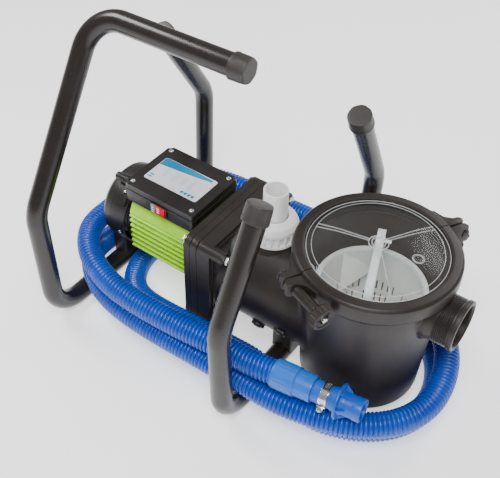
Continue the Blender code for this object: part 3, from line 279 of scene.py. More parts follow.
def make_finishes():
    made = {}
    made["frame_paint"] = moulded("powder_coat", (0.012, 0.009, 0.008), (0.018, 0.014, 0.012),
        (0.22, 0.30), (620.0, 0.00005), {"Specular_IOR_Level": 0.5}, 9.0, 0.00010)
    made["cap_rubber"] = moulded("cap_rubber", (0.022, 0.019, 0.017), (0.034, 0.030, 0.027),
        (0.40, 0.52), (1500.0, 0.00005), None, 30.0, 0.00008)
    made["pump_plastic"] = moulded("pump_plastic", (0.016, 0.0125, 0.011), (0.026, 0.021, 0.018),
        (0.36, 0.48), (1300.0, 0.00006), {"Specular_IOR_Level": 0.36}, 16.0, 0.00008)
    made["motor_paint"] = moulded("motor_paint", (0.330, 0.740, 0.001), (0.420, 0.840, 0.003),
        (0.34, 0.46), (900.0, 0.00006), None, 30.0, 0.00012)
    made["cover_plastic"] = moulded("cover_plastic", (0.011, 0.010, 0.009), (0.019, 0.017, 0.016),
        (0.34, 0.46), (1600.0, 0.00005), None, 24.0, 0.00005)
    made["box_plastic"] = moulded("box_plastic", (0.012, 0.010, 0.009), (0.019, 0.016, 0.015),
        (0.28, 0.38), (1800.0, 0.00004), None, 22.0, 0.00004)
    made["laminations"] = laminated("laminations")
    made["bright_steel"] = metal("bright_steel", (0.55, 0.55, 0.54), (0.74, 0.74, 0.73), (0.20, 0.34),
        (0.25, 1, 1), 0.00004)
    made["screw_chrome"] = metal("screw_chrome", (0.72, 0.72, 0.72), (0.86, 0.86, 0.87), (0.08, 0.20),
        EVEN, 0.00003)
    made["grey_nylon"] = moulded("grey_nylon", (0.36, 0.37, 0.39), (0.47, 0.48, 0.50), (0.42, 0.55),
        (1100.0, 0.00005))
    made["white_plastic"] = moulded("white_plastic", (0.80, 0.80, 0.785), (0.88, 0.88, 0.87),
        (0.34, 0.46), (1400.0, 0.00004), {"Subsurface_Weight": 0.15, "Subsurface_Scale": 0.004})
    made["basket_plastic"] = moulded("basket_plastic", (0.80, 0.79, 0.77), (0.90, 0.89, 0.88),
        (0.38, 0.50), (1200.0, 0.00004), {"Subsurface_Weight": 0.35, "Subsurface_Scale": 0.006})
    made["seal_rubber"] = moulded("seal_rubber", (0.012, 0.012, 0.012), (0.022, 0.022, 0.022),
        (0.55, 0.70), (1300.0, 0.00006))
    made["lid_clear"] = moulded("lid_clear", (0.22, 0.21, 0.20), (0.30, 0.29, 0.28), (0.05, 0.12),
        (420.0, 0.00002), {"Alpha": 0.07, "Specular_IOR_Level": 1.0}, 12.0, 0.0001)
    # painted highlight: the clear lid's ribs, beads and boss get a near-white colour and more alpha than
    # the pane, standing in for the light they catch
    made["lid_rib_painted_highlight"] = moulded("lid_rib_painted_highlight", (0.84, 0.85, 0.86), (0.94, 0.95, 0.96), (0.08, 0.16),
        (420.0, 0.00002), {"Alpha": 0.30, "Specular_IOR_Level": 1.0}, 14.0)
    made["label_film"] = moulded("label_film", (0.60, 0.60, 0.66), (0.70, 0.70, 0.76), (0.22, 0.32),
        (900.0, 0.00002), None, 8.0)
    made["label_cyan"] = moulded("label_cyan", (0.001, 0.170, 0.330), (0.006, 0.230, 0.410),
        (0.22, 0.32), (900.0, 0.00002), None, 18.0)
    made["label_grey"] = moulded("label_grey", (0.36, 0.40, 0.43), (0.46, 0.50, 0.53), (0.25, 0.35),
        (900.0, 0.00002), None, 30.0)
    made["switch_grey"] = moulded("switch_grey", (0.200, 0.215, 0.240), (0.290, 0.310, 0.340),
        (0.16, 0.26), (900.0, 0.00003))
    made["switch_red"] = moulded("switch_red", (0.640, 0.003, 0.008), (0.780, 0.010, 0.016),
        (0.16, 0.26), (900.0, 0.00003))
    made["hose_blue"] = moulded("hose_blue", (0.001, 0.045, 0.360), (0.004, 0.075, 0.500), (0.24, 0.34),
        (500.0, 0.00006), {"Subsurface_Weight": 0.08, "Subsurface_Scale": 0.002}, 14.0)
    made["cuff_blue"] = moulded("cuff_blue", (0.006, 0.110, 0.520), (0.016, 0.150, 0.620), (0.24, 0.34),
        (700.0, 0.00004), None, 20.0, 0.00006)
    made["fitting_blue"] = moulded("fitting_blue", (0.002, 0.070, 0.440), (0.008, 0.105, 0.560),
        (0.28, 0.40), (800.0, 0.00005), None, 22.0, 0.00005)
    made["floor"] = moulded("floor", (0.90, 0.90, 0.90), (0.93, 0.93, 0.93), (0.60, 0.66),
        (60.0, 0.00001), {"Emission_Strength": 0.85}, 3.0)
    return made


FINISH = make_finishes()


# ---------------------------------------------------------------- making meshes
def soften(points, steps=4, closed=True):
    """Round the corners of an outline of (x, y) or (x, y, corner radius) points."""
    out = []
    count = len(points)
    for k, point in enumerate(points):
        here = Vector(point[:2])
        radius = point[2] if len(point) > 2 else 0.0
        if radius <= 0 or (not closed and k in (0, count - 1)):
            out.append(tuple(here))
            continue
        back = Vector(points[k - 1][:2]) - here
        ahead = Vector(points[(k + 1) % count][:2]) - here
        half = back.angle(ahead) / 2
        reach = min(radius / max(math.tan(half), 1e-6), 0.48 * back.length, 0.48 * ahead.length)
        start = here + back.normalized() * reach
        end = here + ahead.normalized() * reach
        for step in range(steps + 1):
            t = step / steps
            out.append(tuple(start * (1 - t) ** 2 + here * 2 * t * (1 - t) + end * t ** 2))
    return out


def along(axis, origin, spin=0.0):
    """Matrix that turns +Z to the axis and moves to the origin."""
    turn = Vector((0, 0, 1)).rotation_difference(Vector(axis)).to_matrix().to_4x4()
    return Matrix.Translation(Vector(origin)) @ turn @ Matrix.Rotation(spin, 4, "Z")


def spun(k, count):
    """Turn about Z by k steps of a full turn in count steps."""
    return Matrix.Rotation(2 * math.pi * k / count, 4, "Z")


def shift(x, y, z):
    return Matrix.Translation((x, y, z))


def turn_z(degrees):
    return Matrix.Rotation(math.radians(degrees), 4, "Z")


X_AXIS = along((1, 0, 0), (0, 0, AXIS_Z))
POT_AXIS = shift(POT_X, 0, 0)
PORT_AXIS = along((1, 0, 0), (0, 0, PORT_Z))


def section_at(x):
    """Frame for a (y, z) outline round the motor axis, with its depth along +X."""
    return shift(x, 0, AXIS_Z) @ Matrix(((0, 0, 1, 0), (1, 0, 0, 0), (0, 1, 0, 0), (0, 0, 0, 1)))


def absorb(shape, part, place):
    """Move a part into place, face it outwards and add it to the shape."""
    bmesh.ops.remove_doubles(part, verts=part.verts, dist=1e-7)
    bmesh.ops.recalc_face_normals(part, faces=part.faces)
    if place is not None:
        part.transform(place)
    mesh = bpy.data.meshes.new("part")
    part.to_mesh(mesh)
    part.free()
    shape.from_mesh(mesh)
    bpy.data.meshes.remove(mesh)


def skin(part, rows, loop=False):
    """Join neighbouring rings of vertices with faces. A ring of one vertex is a pole."""
    pairs = list(zip(rows, rows[1:]))
    if loop:
        pairs.append((rows[-1], rows[0]))
    for low, high in pairs:
        sides = max(len(low), len(high))
        for k in range(sides):
            j = (k + 1) % sides
            if sides == 1:
                break
            if len(low) == 1:
                part.faces.new((low[0], high[j], high[k]))
            elif len(high) == 1:
                part.faces.new((low[k], low[j], high[0]))
            else:
                part.faces.new((low[k], low[j], high[j], high[k]))


def turned(shape, profile, place=None, sides=96, ring=False, ripple=None):
    """Turn (radius, height) points. ripple(angle, radius, height) may change the radius."""
    part = bmesh.new()
    rows = []
    for radius, height in profile:
        if radius < 1e-7:
            rows.append([part.verts.new((0, 0, height))])
            continue
        row = []
        for k in range(sides):
            angle = 2 * math.pi * k / sides
            r = ripple(angle, radius, height) if ripple else radius
            row.append(part.verts.new((r * math.cos(angle), r * math.sin(angle), height)))
        rows.append(row)
    skin(part, rows, ring)
    absorb(shape, part, place)


def lathe(shape, corners, place=None, sides=96, ring=False, ripple=None, steps=4):
    """Turn (radius, height) or (radius, height, corner radius) points."""
    turned(shape, soften(corners, steps, ring), place, sides, ring, ripple)


def cylinder(shape, radius, low, high, place, sides):
    turned(shape, [(0, low), (radius, low), (radius, high), (0, high)], place, sides)


def slab(shape, outline, depth, place=None, edge=0.0, steps=2):
    """Extrude an outline along +Z, with both of its rims rounded."""
    part = bmesh.new()
    low = [part.verts.new((x, y, 0)) for x, y in outline]
    high = [part.verts.new((x, y, depth)) for x, y in outline]
    rims = []
    for ring in (part.faces.new(low[::-1]), part.faces.new(high)):
        rims += list(ring.edges)
    for k in range(len(low)):
        part.faces.new((low[k - 1], low[k], high[k], high[k - 1]))
    if edge:
        bmesh.ops.bevel(part, geom=rims, offset=edge, segments=steps, affect="EDGES", profile=0.5)
    absorb(shape, part, place)


def brick(shape, low, high, place=None, edge=0.0, steps=2):
    """Box between two corners with rounded edges."""
    part = bmesh.new()
    bmesh.ops.create_cube(part, size=1.0)
    low, high = Vector(low), Vector(high)
    for vert in part.verts:
        vert.co = Vector([a + (c + 0.5) * (b - a) for a, b, c in zip(low, high, vert.co)])
    if edge:
        bmesh.ops.bevel(part, geom=part.edges[:], offset=edge, segments=steps, affect="EDGES",
            profile=0.5)
    absorb(shape, part, place)


def sweep(shape, path, section, place=None, upright=None, closed=False):
    """Carry a closed (x, y) section along a path, with flat ends."""
    part = bmesh.new()
    path = [Vector(p) for p in path]
    count = len(path)
    rows = []
    normal = None
    for k, point in enumerate(path):
        if closed:
            tangent = (path[(k + 1) % count] - path[k - 1]).normalized()
        else:
            tangent = (path[min(k + 1, count - 1)] - path[max(k - 1, 0)]).normalized()
        if normal is None:
            normal = Vector(upright) if upright else tangent.orthogonal()
        normal = (normal - tangent * normal.dot(tangent)).normalized()
        side = tangent.cross(normal)
        rows.append([part.verts.new(point + (side * x + normal * y)) for x, y in section])
    skin(part, rows, closed)
    if not closed:
        part.faces.new(rows[0][::-1])
        part.faces.new(rows[-1])
    absorb(shape, part, place)


def circle(radius, sides=32):
    return [(radius * math.cos(2 * math.pi * k / sides), radius * math.sin(2 * math.pi * k / sides))
        for k in range(sides)]


def rectangle(half_x, half_y, corner, steps=5):
    return soften([(half_x, half_y, corner), (-half_x, half_y, corner), (-half_x, -half_y, corner),
        (half_x, -half_y, corner)], steps)


def piece(name, shape, finish, body, *nodes, sharp=SHARP_DEG):
    """Make an object from the shape, on a CAD body and in place of CAD nodes."""
    mesh = bpy.data.meshes.new(name)
    shape.to_mesh(mesh)
    shape.free()
    mesh.shade_smooth()
    mesh.set_sharp_from_angle(angle=math.radians(sharp))
    mesh.materials.append(FINISH[finish])
    made = bpy.data.objects.new(name, mesh)
    bpy.context.collection.objects.link(made)
    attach(made, body)
    if nodes:
        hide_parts(*nodes)
    return made


def carve(target, cutters, overlap=False):
    """Cut the cutter shape out of a piece. overlap is for a target or cutters that cross themselves."""
    mesh = bpy.data.meshes.new("cutters")
    cutters.to_mesh(mesh)
    cutters.free()
    tool = bpy.data.objects.new("cutters", mesh)
    bpy.context.collection.objects.link(tool)
    step = target.modifiers.new("carve", "BOOLEAN")
    step.operation = "DIFFERENCE"
    step.solver = "EXACT"
    step.use_self = overlap
    step.object = tool
    bpy.context.view_layer.update()
    solved = target.evaluated_get(bpy.context.evaluated_depsgraph_get())
    result = bpy.data.meshes.new_from_object(solved)
    target.modifiers.clear()
    target.data = result
    result.shade_smooth()
    result.set_sharp_from_angle(angle=math.radians(SHARP_DEG))
    bpy.data.objects.remove(tool)


def fillet_path(corners, radii, steps=16):
    """Polyline through the corners, with each inner corner turned on an arc."""
    path = [Vector(corners[0])]
    for before, corner, after, radius in zip(corners, corners[1:], corners[2:], radii):
        before, corner, after = Vector(before), Vector(corner), Vector(after)
        back = (before - corner).normalized()
        ahead = (after - corner).normalized()
        half = back.angle(ahead) / 2
        reach = radius / math.tan(half)
        centre = corner + (back + ahead).normalized() * radius / math.sin(half)
        start = corner + back * reach - centre
        spin = start.cross(corner + ahead * reach - centre).normalized()
        for k in range(steps + 1):
            path.append(centre + Matrix.Rotation((math.pi - 2 * half) * k / steps, 3, spin) @ start)
    path.append(Vector(corners[-1]))
    return path


# ---------------------------------------------------------------- camera, light and floor
CAMERA_PLACE = (0.4811, -0.7676, 1.0695)
CAMERA_AZIMUTH = math.radians(36.97)
CAMERA_ELEVATION = math.radians(43.08)
CAMERA_LENS = 60.45
CAMERA_SHIFT = (0.0562, -0.0306)


def make_camera():
    level = math.cos(CAMERA_ELEVATION)
    back = Vector((math.sin(CAMERA_AZIMUTH) * level, -math.cos(CAMERA_AZIMUTH) * level,
        math.sin(CAMERA_ELEVATION)))
    data = bpy.data.cameras.new("camera")
    data.lens = CAMERA_LENS
    data.sensor_width = 36.0
    data.shift_x, data.shift_y = CAMERA_SHIFT
    camera = bpy.data.objects.new("camera", data)
    camera.location = CAMERA_PLACE
    camera.rotation_euler = back.to_track_quat("Z", "Y").to_euler()
    bpy.context.collection.objects.link(camera)
    bpy.context.scene.camera = camera


def area_light(name, place, target, size, power):
    data = bpy.data.lights.new(name, "AREA")
    data.shape = "DISK"
    data.size = size
    data.energy = power
    light = bpy.data.objects.new(name, data)
    light.location = place
    light.rotation_euler = (Vector(place) - Vector(target)).to_track_quat("Z", "Y").to_euler()
    bpy.context.collection.objects.link(light)


def make_studio():
    world = bpy.data.worlds.new("studio")
    world.use_nodes = True
    background = world.node_tree.nodes["Background"]
    background.inputs["Color"].default_value = (1.0, 1.0, 1.0, 1.0)
    background.inputs["Strength"].default_value = 0.36
    bpy.context.scene.world = world
    middle = (0, 0, 0.15)
    area_light("key", (0.5, -1.0, 2.1), middle, 0.9, 46.0)
    area_light("top_left", (-1.4, -0.3, 1.8), middle, 0.8, 26.0)
    area_light("back", (0.3, 1.8, 1.4), middle, 1.0, 18.0)
    shape = bmesh.new()
    bmesh.ops.create_grid(shape, x_segments=8, y_segments=8, size=6.0)
    mesh = bpy.data.meshes.new("floor")
    shape.to_mesh(mesh)
    shape.free()
    mesh.materials.append(FINISH["floor"])
    floor = bpy.data.objects.new("floor", mesh)
    bpy.context.collection.objects.link(floor)


# ---------------------------------------------------------------- hose
def smooth_curve(points, per_span=16):
    """Natural cubic spline through the points, as a fine polyline."""
    points = np.array(points, float)
    count = len(points)
    steps = np.linalg.norm(np.diff(points, axis=0), axis=1) ** 0.5
    knots = np.concatenate([[0], np.cumsum(steps)])
    system = np.eye(count)
    right = np.zeros((count, 3))
    for i in range(1, count - 1):
        system[i, i - 1:i + 2] = steps[i - 1], 2 * (steps[i - 1] + steps[i]), steps[i]
        right[i] = 6 * ((points[i + 1] - points[i]) / steps[i] - (points[i] - points[i - 1]) / steps[i - 1])
    bend = np.linalg.solve(system, right)
    fine = []
    for i in range(count - 1):
        for u in np.linspace(knots[i], knots[i + 1], per_span, endpoint=False):
            a = knots[i + 1] - u
            b = u - knots[i]
            fine.append((bend[i] * a ** 3 + bend[i + 1] * b ** 3) / (6 * steps[i])
                + (points[i] / steps[i] - bend[i] * steps[i] / 6) * a
                + (points[i + 1] / steps[i] - bend[i + 1] * steps[i] / 6) * b)
    fine.append(points[-1])
    return np.array(fine)


def run_length(points):
    return np.concatenate([[0], np.cumsum(np.linalg.norm(np.diff(points, axis=0), axis=1))])


def resampled(points, count):
    run = run_length(points)
    places = np.linspace(0, run[-1], count)
    return np.stack([np.interp(places, run, points[:, k]) for k in range(3)], axis=1)


def corrugated_tube(points, sides):
    """Ribbed tube along the points, with round ribs and narrow grooves: (bmesh, ring centres)."""
    length = run_length(points)[-1]
    ribs = round(length / HOSE_PITCH)
    profile = [(0.00, 0.00), (0.10, 0.18), (0.20, 0.62), (0.31, 0.92), (0.50, 1.00), (0.69, 0.92),
        (0.80, 0.62), (0.90, 0.18)]
    places = [(rib + share) / ribs for rib in range(ribs) for share, _ in profile] + [1.0]
    rise = [height for _ in range(ribs) for _, height in profile] + [0.0]
    run = run_length(points)
    spots = np.array(places) * run[-1]
    centres = np.stack([np.interp(spots, run, points[:, k]) for k in range(3)], axis=1)
    tangents = np.gradient(centres, axis=0)
    tangents /= np.linalg.norm(tangents, axis=1)[:, None]
    shape = bmesh.new()
    angles = np.linspace(0, 2 * math.pi, sides, endpoint=False)
    normal = np.cross(tangents[0], (0, 0, 1.0))
    rows = []
    for centre, tangent, height in zip(centres, tangents, rise):
        normal = normal - tangent * np.dot(normal, tangent)
        normal /= np.linalg.norm(normal)
        side = np.cross(tangent, normal)
        radius = HOSE_GROOVE + (HOSE_R - HOSE_GROOVE) * height
        ring = centre + radius * (np.outer(np.cos(angles), normal) + np.outer(np.sin(angles), side))
        rows.append([shape.verts.new(p) for p in ring])
    skin(shape, rows)
    shape.faces.new(rows[0][::-1])
    shape.faces.new(rows[-1])
    bmesh.ops.recalc_face_normals(shape, faces=shape.faces)
    return shape, centres


def make_hose():
    fine = smooth_curve(HOSE_ROUTE)
    chords = resampled(fine, CORD_POINTS)
    shape, centres = corrugated_tube(resampled(fine, FINE_POINTS), HOSE_SIDES)
    hose = piece("corrugated_hose", shape, "hose_blue", "base", "hose", sharp=60.0)
    tail = Vector(chords[0])
    back = (tail - Vector(chords[1])).normalized()
    head = Vector(chords[-1])
    out = (head - Vector(chords[-2])).normalized()

    shape = bmesh.new()
    lathe(shape, [(0.0150, 0), (0.0205, 0, 0.0008), (0.0205, 0.0270, 0.0015), (0.0185, 0.0300, 0.0015),
        (0.0185, 0.0480, 0.0010), (0.0150, 0.0480, 0.0006)], along(back, tail), 64, ring=True)
    for k in range(SLEEVE_BEADS):
        step = SLEEVE_BEAD_STEP * k
        lathe(shape, [(0.0200, 0.0060 + step), (0.0209, 0.0066 + step, 0.0006),
            (0.0209, 0.0082 + step, 0.0006), (0.0200, 0.0088 + step)], along(back, tail), 64, ring=True)
    sleeve = piece("hose_plain_end", shape, "cuff_blue", "base", "hose_end_sleeve")

    cuff = make_cuff(head, out)
    clamp = make_worm_clamp(head + out * CUFF_LENGTH, out)
    fitting = make_fitting(head + out * CUFF_LENGTH, out)


def make_cuff(head, out):
    """Smooth two-step cuff with fine grip ribs near the hose and a groove at its step."""
    place = along(out, head)
    reach = CUFF_LENGTH
    step = reach * 0.60

    def ribs(angle, radius, height):
        inside = 0.006 < height < step - 0.006 and radius > 0.0215
        return radius + (0.00022 * math.cos(angle * 24) if inside else 0.0)

    outline = [(0.0150, 0), (0.0212, 0, 0.0010), (0.0222, 0.0035, 0.0020)]
    outline += [(0.0222, 0.005 + (step - 0.008) * k / 10) for k in range(11)]
    outline += [(0.0222, step - 0.0018), (0.0217, step - 0.0012), (0.0208, step - 0.0008),
        (0.0208, step + 0.0002), (0.0203, step + 0.0004), (0.0202, step + 0.0020),
        (0.0198, reach, 0.0010), (0.0150, reach, 0.0005)]
    shape = bmesh.new()
    lathe(shape, outline, place, 144, ring=True, ripple=ribs)
    return piece("cuff", shape, "cuff_blue", "base", "hose_cuff")


def make_worm_clamp(start, out):
    """Toothed steel band with its screw housing underneath."""
    side = out.cross(Vector((0, 0, 1))).normalized()
    low = (side * 0.8 - Vector((0, 0, 0.6))).normalized()
    across = out.cross(low).normalized()
    place = Matrix(((across.x, out.x, low.x, start.x), (across.y, out.y, low.y, start.y),
        (across.z, out.z, low.z, start.z), (0, 0, 0, 1)))
    shape = bmesh.new()
    lathe(shape, [(0.0171, 0.0130, 0.0002), (0.0180, 0.0130, 0.0004), (0.0180, 0.0136, 0.0002),
        (0.0177, 0.0140), (0.0177, 0.0240), (0.0180, 0.0244, 0.0002), (0.0180, 0.0250, 0.0004),
        (0.0171, 0.0250, 0.0002)], along(out, start), 96, ring=True, steps=3)
    for k in range(BAND_TEETH):
        tooth = along(out, start) @ spun(k, BAND_TEETH)
        brick(shape, (0.0176, -0.00045, 0.0155), (0.0181, 0.00045, 0.0225), tooth, 0.00015, 1)
    # housing, bridge and screw, in the frame (across, along the hose, away from it)
    brick(shape, (-0.0085, 0.0125, 0.0172), (0.0075, 0.0255, 0.0190), place, 0.0005)
    head = along(across, start + out * 0.019 + low * 0.0212)
    lathe(shape, [(0, -0.0080), (0.0046, -0.0080, 0.0006), (0.0046, 0.0060, 0.0008), (0, 0.0060)], head,
        32)
    lathe(shape, [(0, -0.0112), (0.0026, -0.0112), (0.0034, -0.0106, 0.0004), (0.0034, -0.0078),
        (0, -0.0078)], head, 24)
    slab(shape, circle(0.0049, 6), 0.0042, head @ shift(0, 0, 0.0066), 0.0005)
    return piece("worm_clamp", shape, "screw_chrome", "base", "hose_clamp")


def make_fitting(start, out):
    """End fitting: hose spigot, flanged disc with webs, and a short open tube."""
    place = along(out, start)
    shape = bmesh.new()
    lathe(shape, [(0.0125, 0), (0.0168, 0, 0.0006), (0.0168, 0.0290, 0.0008), (0.0180, 0.0300, 0.0008),
        (0.0180, 0.0375, 0.0010), (0.0262, 0.0380, 0.0010), (0.0267, 0.0400, 0.0009),
        (0.0262, 0.0418, 0.0009), (0.0188, 0.0425, 0.0012), (0.0170, 0.0480, 0.0016),
        (0.0168, 0.0600, 0.0010), (0.0174, 0.0640, 0.0012), (0.0174, FITTING_LENGTH, 0.0012),
        (0.0135, FITTING_LENGTH, 0.0010), (0.0125, 0.0700)], place, 72, ring=True)
    web = soften([(0.0150, 0.0415), (0.0245, 0.0415, 0.0006), (0.0240, 0.0440, 0.0010),
        (0.0180, 0.0530, 0.0020), (0.0150, 0.0540)])
    upright = Matrix(((1, 0, 0, 0), (0, 0, -1, 0.0012), (0, 1, 0, 0), (0, 0, 0, 1)))
    for k in range(FITTING_WEBS):
        slab(shape, web, 0.0016, place @ spun(k + 0.3, FITTING_WEBS) @ upright, 0.0004)
    return piece("end_fitting", shape, "fitting_blue", "base", "hose_fitting")


# ---------------------------------------------------------------- carrying frame
def make_frame():
    rear = fillet_path([(REAR_X, REAR_TOP[0], REAR_TOP[1]), (REAR_X, REAR_ELBOW[0], REAR_ELBOW[1]),
        (REAR_X, CORNER_Y, BAR_Z), (REAR_X, -CORNER_Y, BAR_Z), (REAR_X, -REAR_ELBOW[0], REAR_ELBOW[1]),
        (REAR_X, HANDLE[0], HANDLE[1]), (HANDLE_END[0], HANDLE_END[1], HANDLE[1])], [ELBOW_FILLET,
        CORNER_FILLET, CORNER_FILLET, ELBOW_FILLET, HANDLE_FILLET])
    front = fillet_path([(FRONT_X, FRONT_TOP[0], FRONT_TOP[1]),
        (FRONT_X, FRONT_ELBOW[0], FRONT_ELBOW[1]), (FRONT_X, CORNER_Y, BAR_Z),
        (FRONT_X, -CORNER_Y, BAR_Z), (FRONT_X, -FRONT_ELBOW[0], FRONT_ELBOW[1]),
        (FRONT_X, -NEAR_TOP[0], NEAR_TOP[1])], [ELBOW_FILLET, CORNER_FILLET, CORNER_FILLET, ELBOW_FILLET])
    for name, path, node_name in (("rear_tube", rear, "frame_tube_rear"),
                                  ("front_tube", front, "frame_tube_front")):
        shape = bmesh.new()
        sweep(shape, path, circle(TUBE_R, 44))
        piece(name, shape, "frame_paint", "base", node_name)
    for name, path, node_name in (("upright_cap", rear, "cap_rear_upright"),
                                  ("handle_cap", rear[::-1], "cap_handle"),
                                  ("far_cap", front, "cap_front_far"),
                                  ("near_cap", front[::-1], "cap_front_near")):
        make_end_cap(name, path, node_name)


def make_end_cap(name, path, node_name):
    """Pushed-on rubber cap: soft seven-sided crown and a raised bead round its mouth."""
    outward = (path[0] - path[1]).normalized()
    top = 0.0043
    mouth = top - CAP_LENGTH

    def crown(angle, radius, height):
        share = max(0.0, min(1.0, (height - (top - 0.020)) / 0.016))
        return radius * (1 - 0.034 * share * (0.5 - 0.5 * math.cos(CAP_SIDES * angle)))

    outline = soften([(0, top + 0.0003), (0.0120, top + 0.0002), (CAP_R - 0.0006, top, 0.0018),
        (CAP_R, top - 0.0080, 0.0040), (CAP_R, mouth + 0.0040),
        (CAP_R + 0.0003, mouth + 0.0030, 0.0006), (CAP_R + 0.0003, mouth, 0.0006), (TUBE_R, mouth),
        (TUBE_R, 0), (0, 0)], 5, closed=False)
    shape = bmesh.new()
    turned(shape, outline, along(outward, path[0]), 80, ripple=crown)
    piece(name, shape, "cap_rubber", "base", node_name)


def make_saddles():
    """Moulded saddles between the pump and the floor bars."""
    shape = bmesh.new()
    brick(shape, (REAR_X - 0.014, -0.040, 0.018), (REAR_X + 0.014, 0.040, 0.086), None, 0.0025, 3)
    rear = piece("motor_foot", shape, "pump_plastic", "base", "motor_saddle")
    cutters = bmesh.new()
    cylinder(cutters, COVER_R + 0.0006, -0.33, -0.25, X_AXIS, 96)
    cylinder(cutters, TUBE_R, -0.08, 0.08, along((0, 1, 0), (REAR_X, 0, BAR_Z)), 48)
    for side in (-1, 1):
        brick(cutters, (REAR_X - 0.02, side * 0.022 - 0.010, 0.036),
            (REAR_X - 0.008, side * 0.022 + 0.010, 0.052), None, 0.0012)
    carve(rear, cutters)
    shape = bmesh.new()
    brick(shape, (FRONT_X - 0.018, -0.045, 0.016), (FRONT_X + 0.018, 0.045, 0.080), None, 0.0025, 3)
    front = piece("pump_foot", shape, "pump_plastic", "base", "pump_saddle")
    cutters = bmesh.new()
    cylinder(cutters, BARREL_R, 0, 0.11, X_AXIS, 96)
    cylinder(cutters, TUBE_R, -0.08, 0.08, along((0, 1, 0), (FRONT_X, 0, BAR_Z)), 48)
    carve(front, cutters)


# ---------------------------------------------------------------- motor
def both_halves(right, steps=4):
    """Rounded outline from the (y, z, corner radius) points of its right half."""
    return soften(right + [(-y, z, r) for y, z, r in reversed(right)], steps)


def fin_outline():
    """Right half of the housing section from the motor axis: (y, z, corner radius)."""
    root = 0.0540
    tip = 0.0612
    right = [(0.0300, -0.0575, 0.004), (0.0500, -0.0475, 0.003)]
    for k in range(FINS):
        middle = (k - (FINS - 1) / 2) * FIN_PITCH - 0.0015
        right += [(root, middle - 0.0036, 0.0010), (tip, middle - 0.0012, 0.0010),
            (tip, middle + 0.0012, 0.0010), (root, middle + 0.0036, 0.0010)]
    right += [(0.0600, 0.0355, 0.0016), (0.0490, 0.0570, 0.0030), (0.0440, 0.0600, 0.0030)]
    return right


def make_motor():
    shape = bmesh.new()
    slab(shape, both_halves(fin_outline(), 3), 0.1285, section_at(HOUSING_X[0] + 0.0005), 0.0006)
    # closed band at the bracket end, where the fins run out
    band = [(0.0300, -0.0575, 0.004), (0.0520, -0.0490, 0.004), (0.0606, -0.0380, 0.004),
        (0.0608, 0.0350, 0.003), (0.0490, 0.0570, 0.003), (0.0440, 0.0598, 0.003)]
    slab(shape, both_halves(band), 0.0074, section_at(-0.1062), 0.0010)
    # foot pads under the housing
    for x in (-0.215, -0.135):
        brick(shape, (x - 0.008, -0.026, 0.0674), (x + 0.008, 0.026, 0.072), None, 0.0015)
    piece("finned_housing", shape, "motor_paint", "base", "motor_housing")

    shape = bmesh.new()
    lathe(shape, [(0.0110, -0.2475, 0.0006), (0.0280, -0.2475), (0.0290, -0.2466), (0.0560, -0.2466),
        (0.0570, -0.2475), (0.0598, -0.2475, 0.0010), (0.0598, -0.2385, 0.0006), (0.0240, -0.2385),
        (0.0240, -0.2330, 0.0008), (0.0198, -0.2330, 0.0004), (0.0198, -0.2458), (0.0110, -0.2458)],
        X_AXIS, 96, ring=True, steps=3)
    piece("end_shield", shape, "cover_plastic", "base", "rear_end_shield")
    make_fan()
    make_fan_cover()
    make_shaft()


def make_fan():
    """Straight-bladed fan with a moulded back plate."""
    shape = bmesh.new()
    lathe(shape, [(0.0061, -0.2840, 0.0004), (0.0140, -0.2840, 0.0010), (0.0146, -0.2640, 0.0010),
        (0.0480, -0.2634, 0.0005), (0.0480, -0.2622, 0.0005), (0.0061, -0.2622, 0.0004)], X_AXIS, 72,
        ring=True)
    for k in range(FAN_BLADES):
        brick(shape, (0.0135, -0.0011, -0.2838), (0.0535, 0.0011, -0.2624), X_AXIS
            @ spun(k, FAN_BLADES), 0.0006)
    piece("fan", shape, "grey_nylon", "drive", "cooling_fan")


def make_shaft():
    """Turned shaft with journals and a centre hole at its fan end."""
    shape = bmesh.new()
    lathe(shape, [(0, -0.2890), (0.0016, -0.2896), (0.0052, -0.2900, 0.0004), (0.0058, -0.2892),
        (0.0058, -0.2560), (0.0078, -0.2553, 0.0003), (0.0080, -0.2548), (0.0080, -0.2060),
        (0.0077, -0.2055), (0.0077, -0.1300), (0.0080, -0.1295), (0.0080, 0.0135), (0.0076, 0.0143),
        (0.0060, 0.0150), (0.0060, 0.0168), (0.0052, 0.0170), (0, 0.0170)], X_AXIS, 64, steps=3)
    piece("shaft", shape, "bright_steel", "drive", "motor_shaft")


def on_cover(angle, radius, x):
    """Frame on the side of the fan cover, with +Z pointing out of it."""
    return X_AXIS @ turn_z(angle) @ Matrix(((0, 0, 1, radius), (0, 1, 0, 0), (-1, 0, 0, x), (0, 0, 0, 1)))


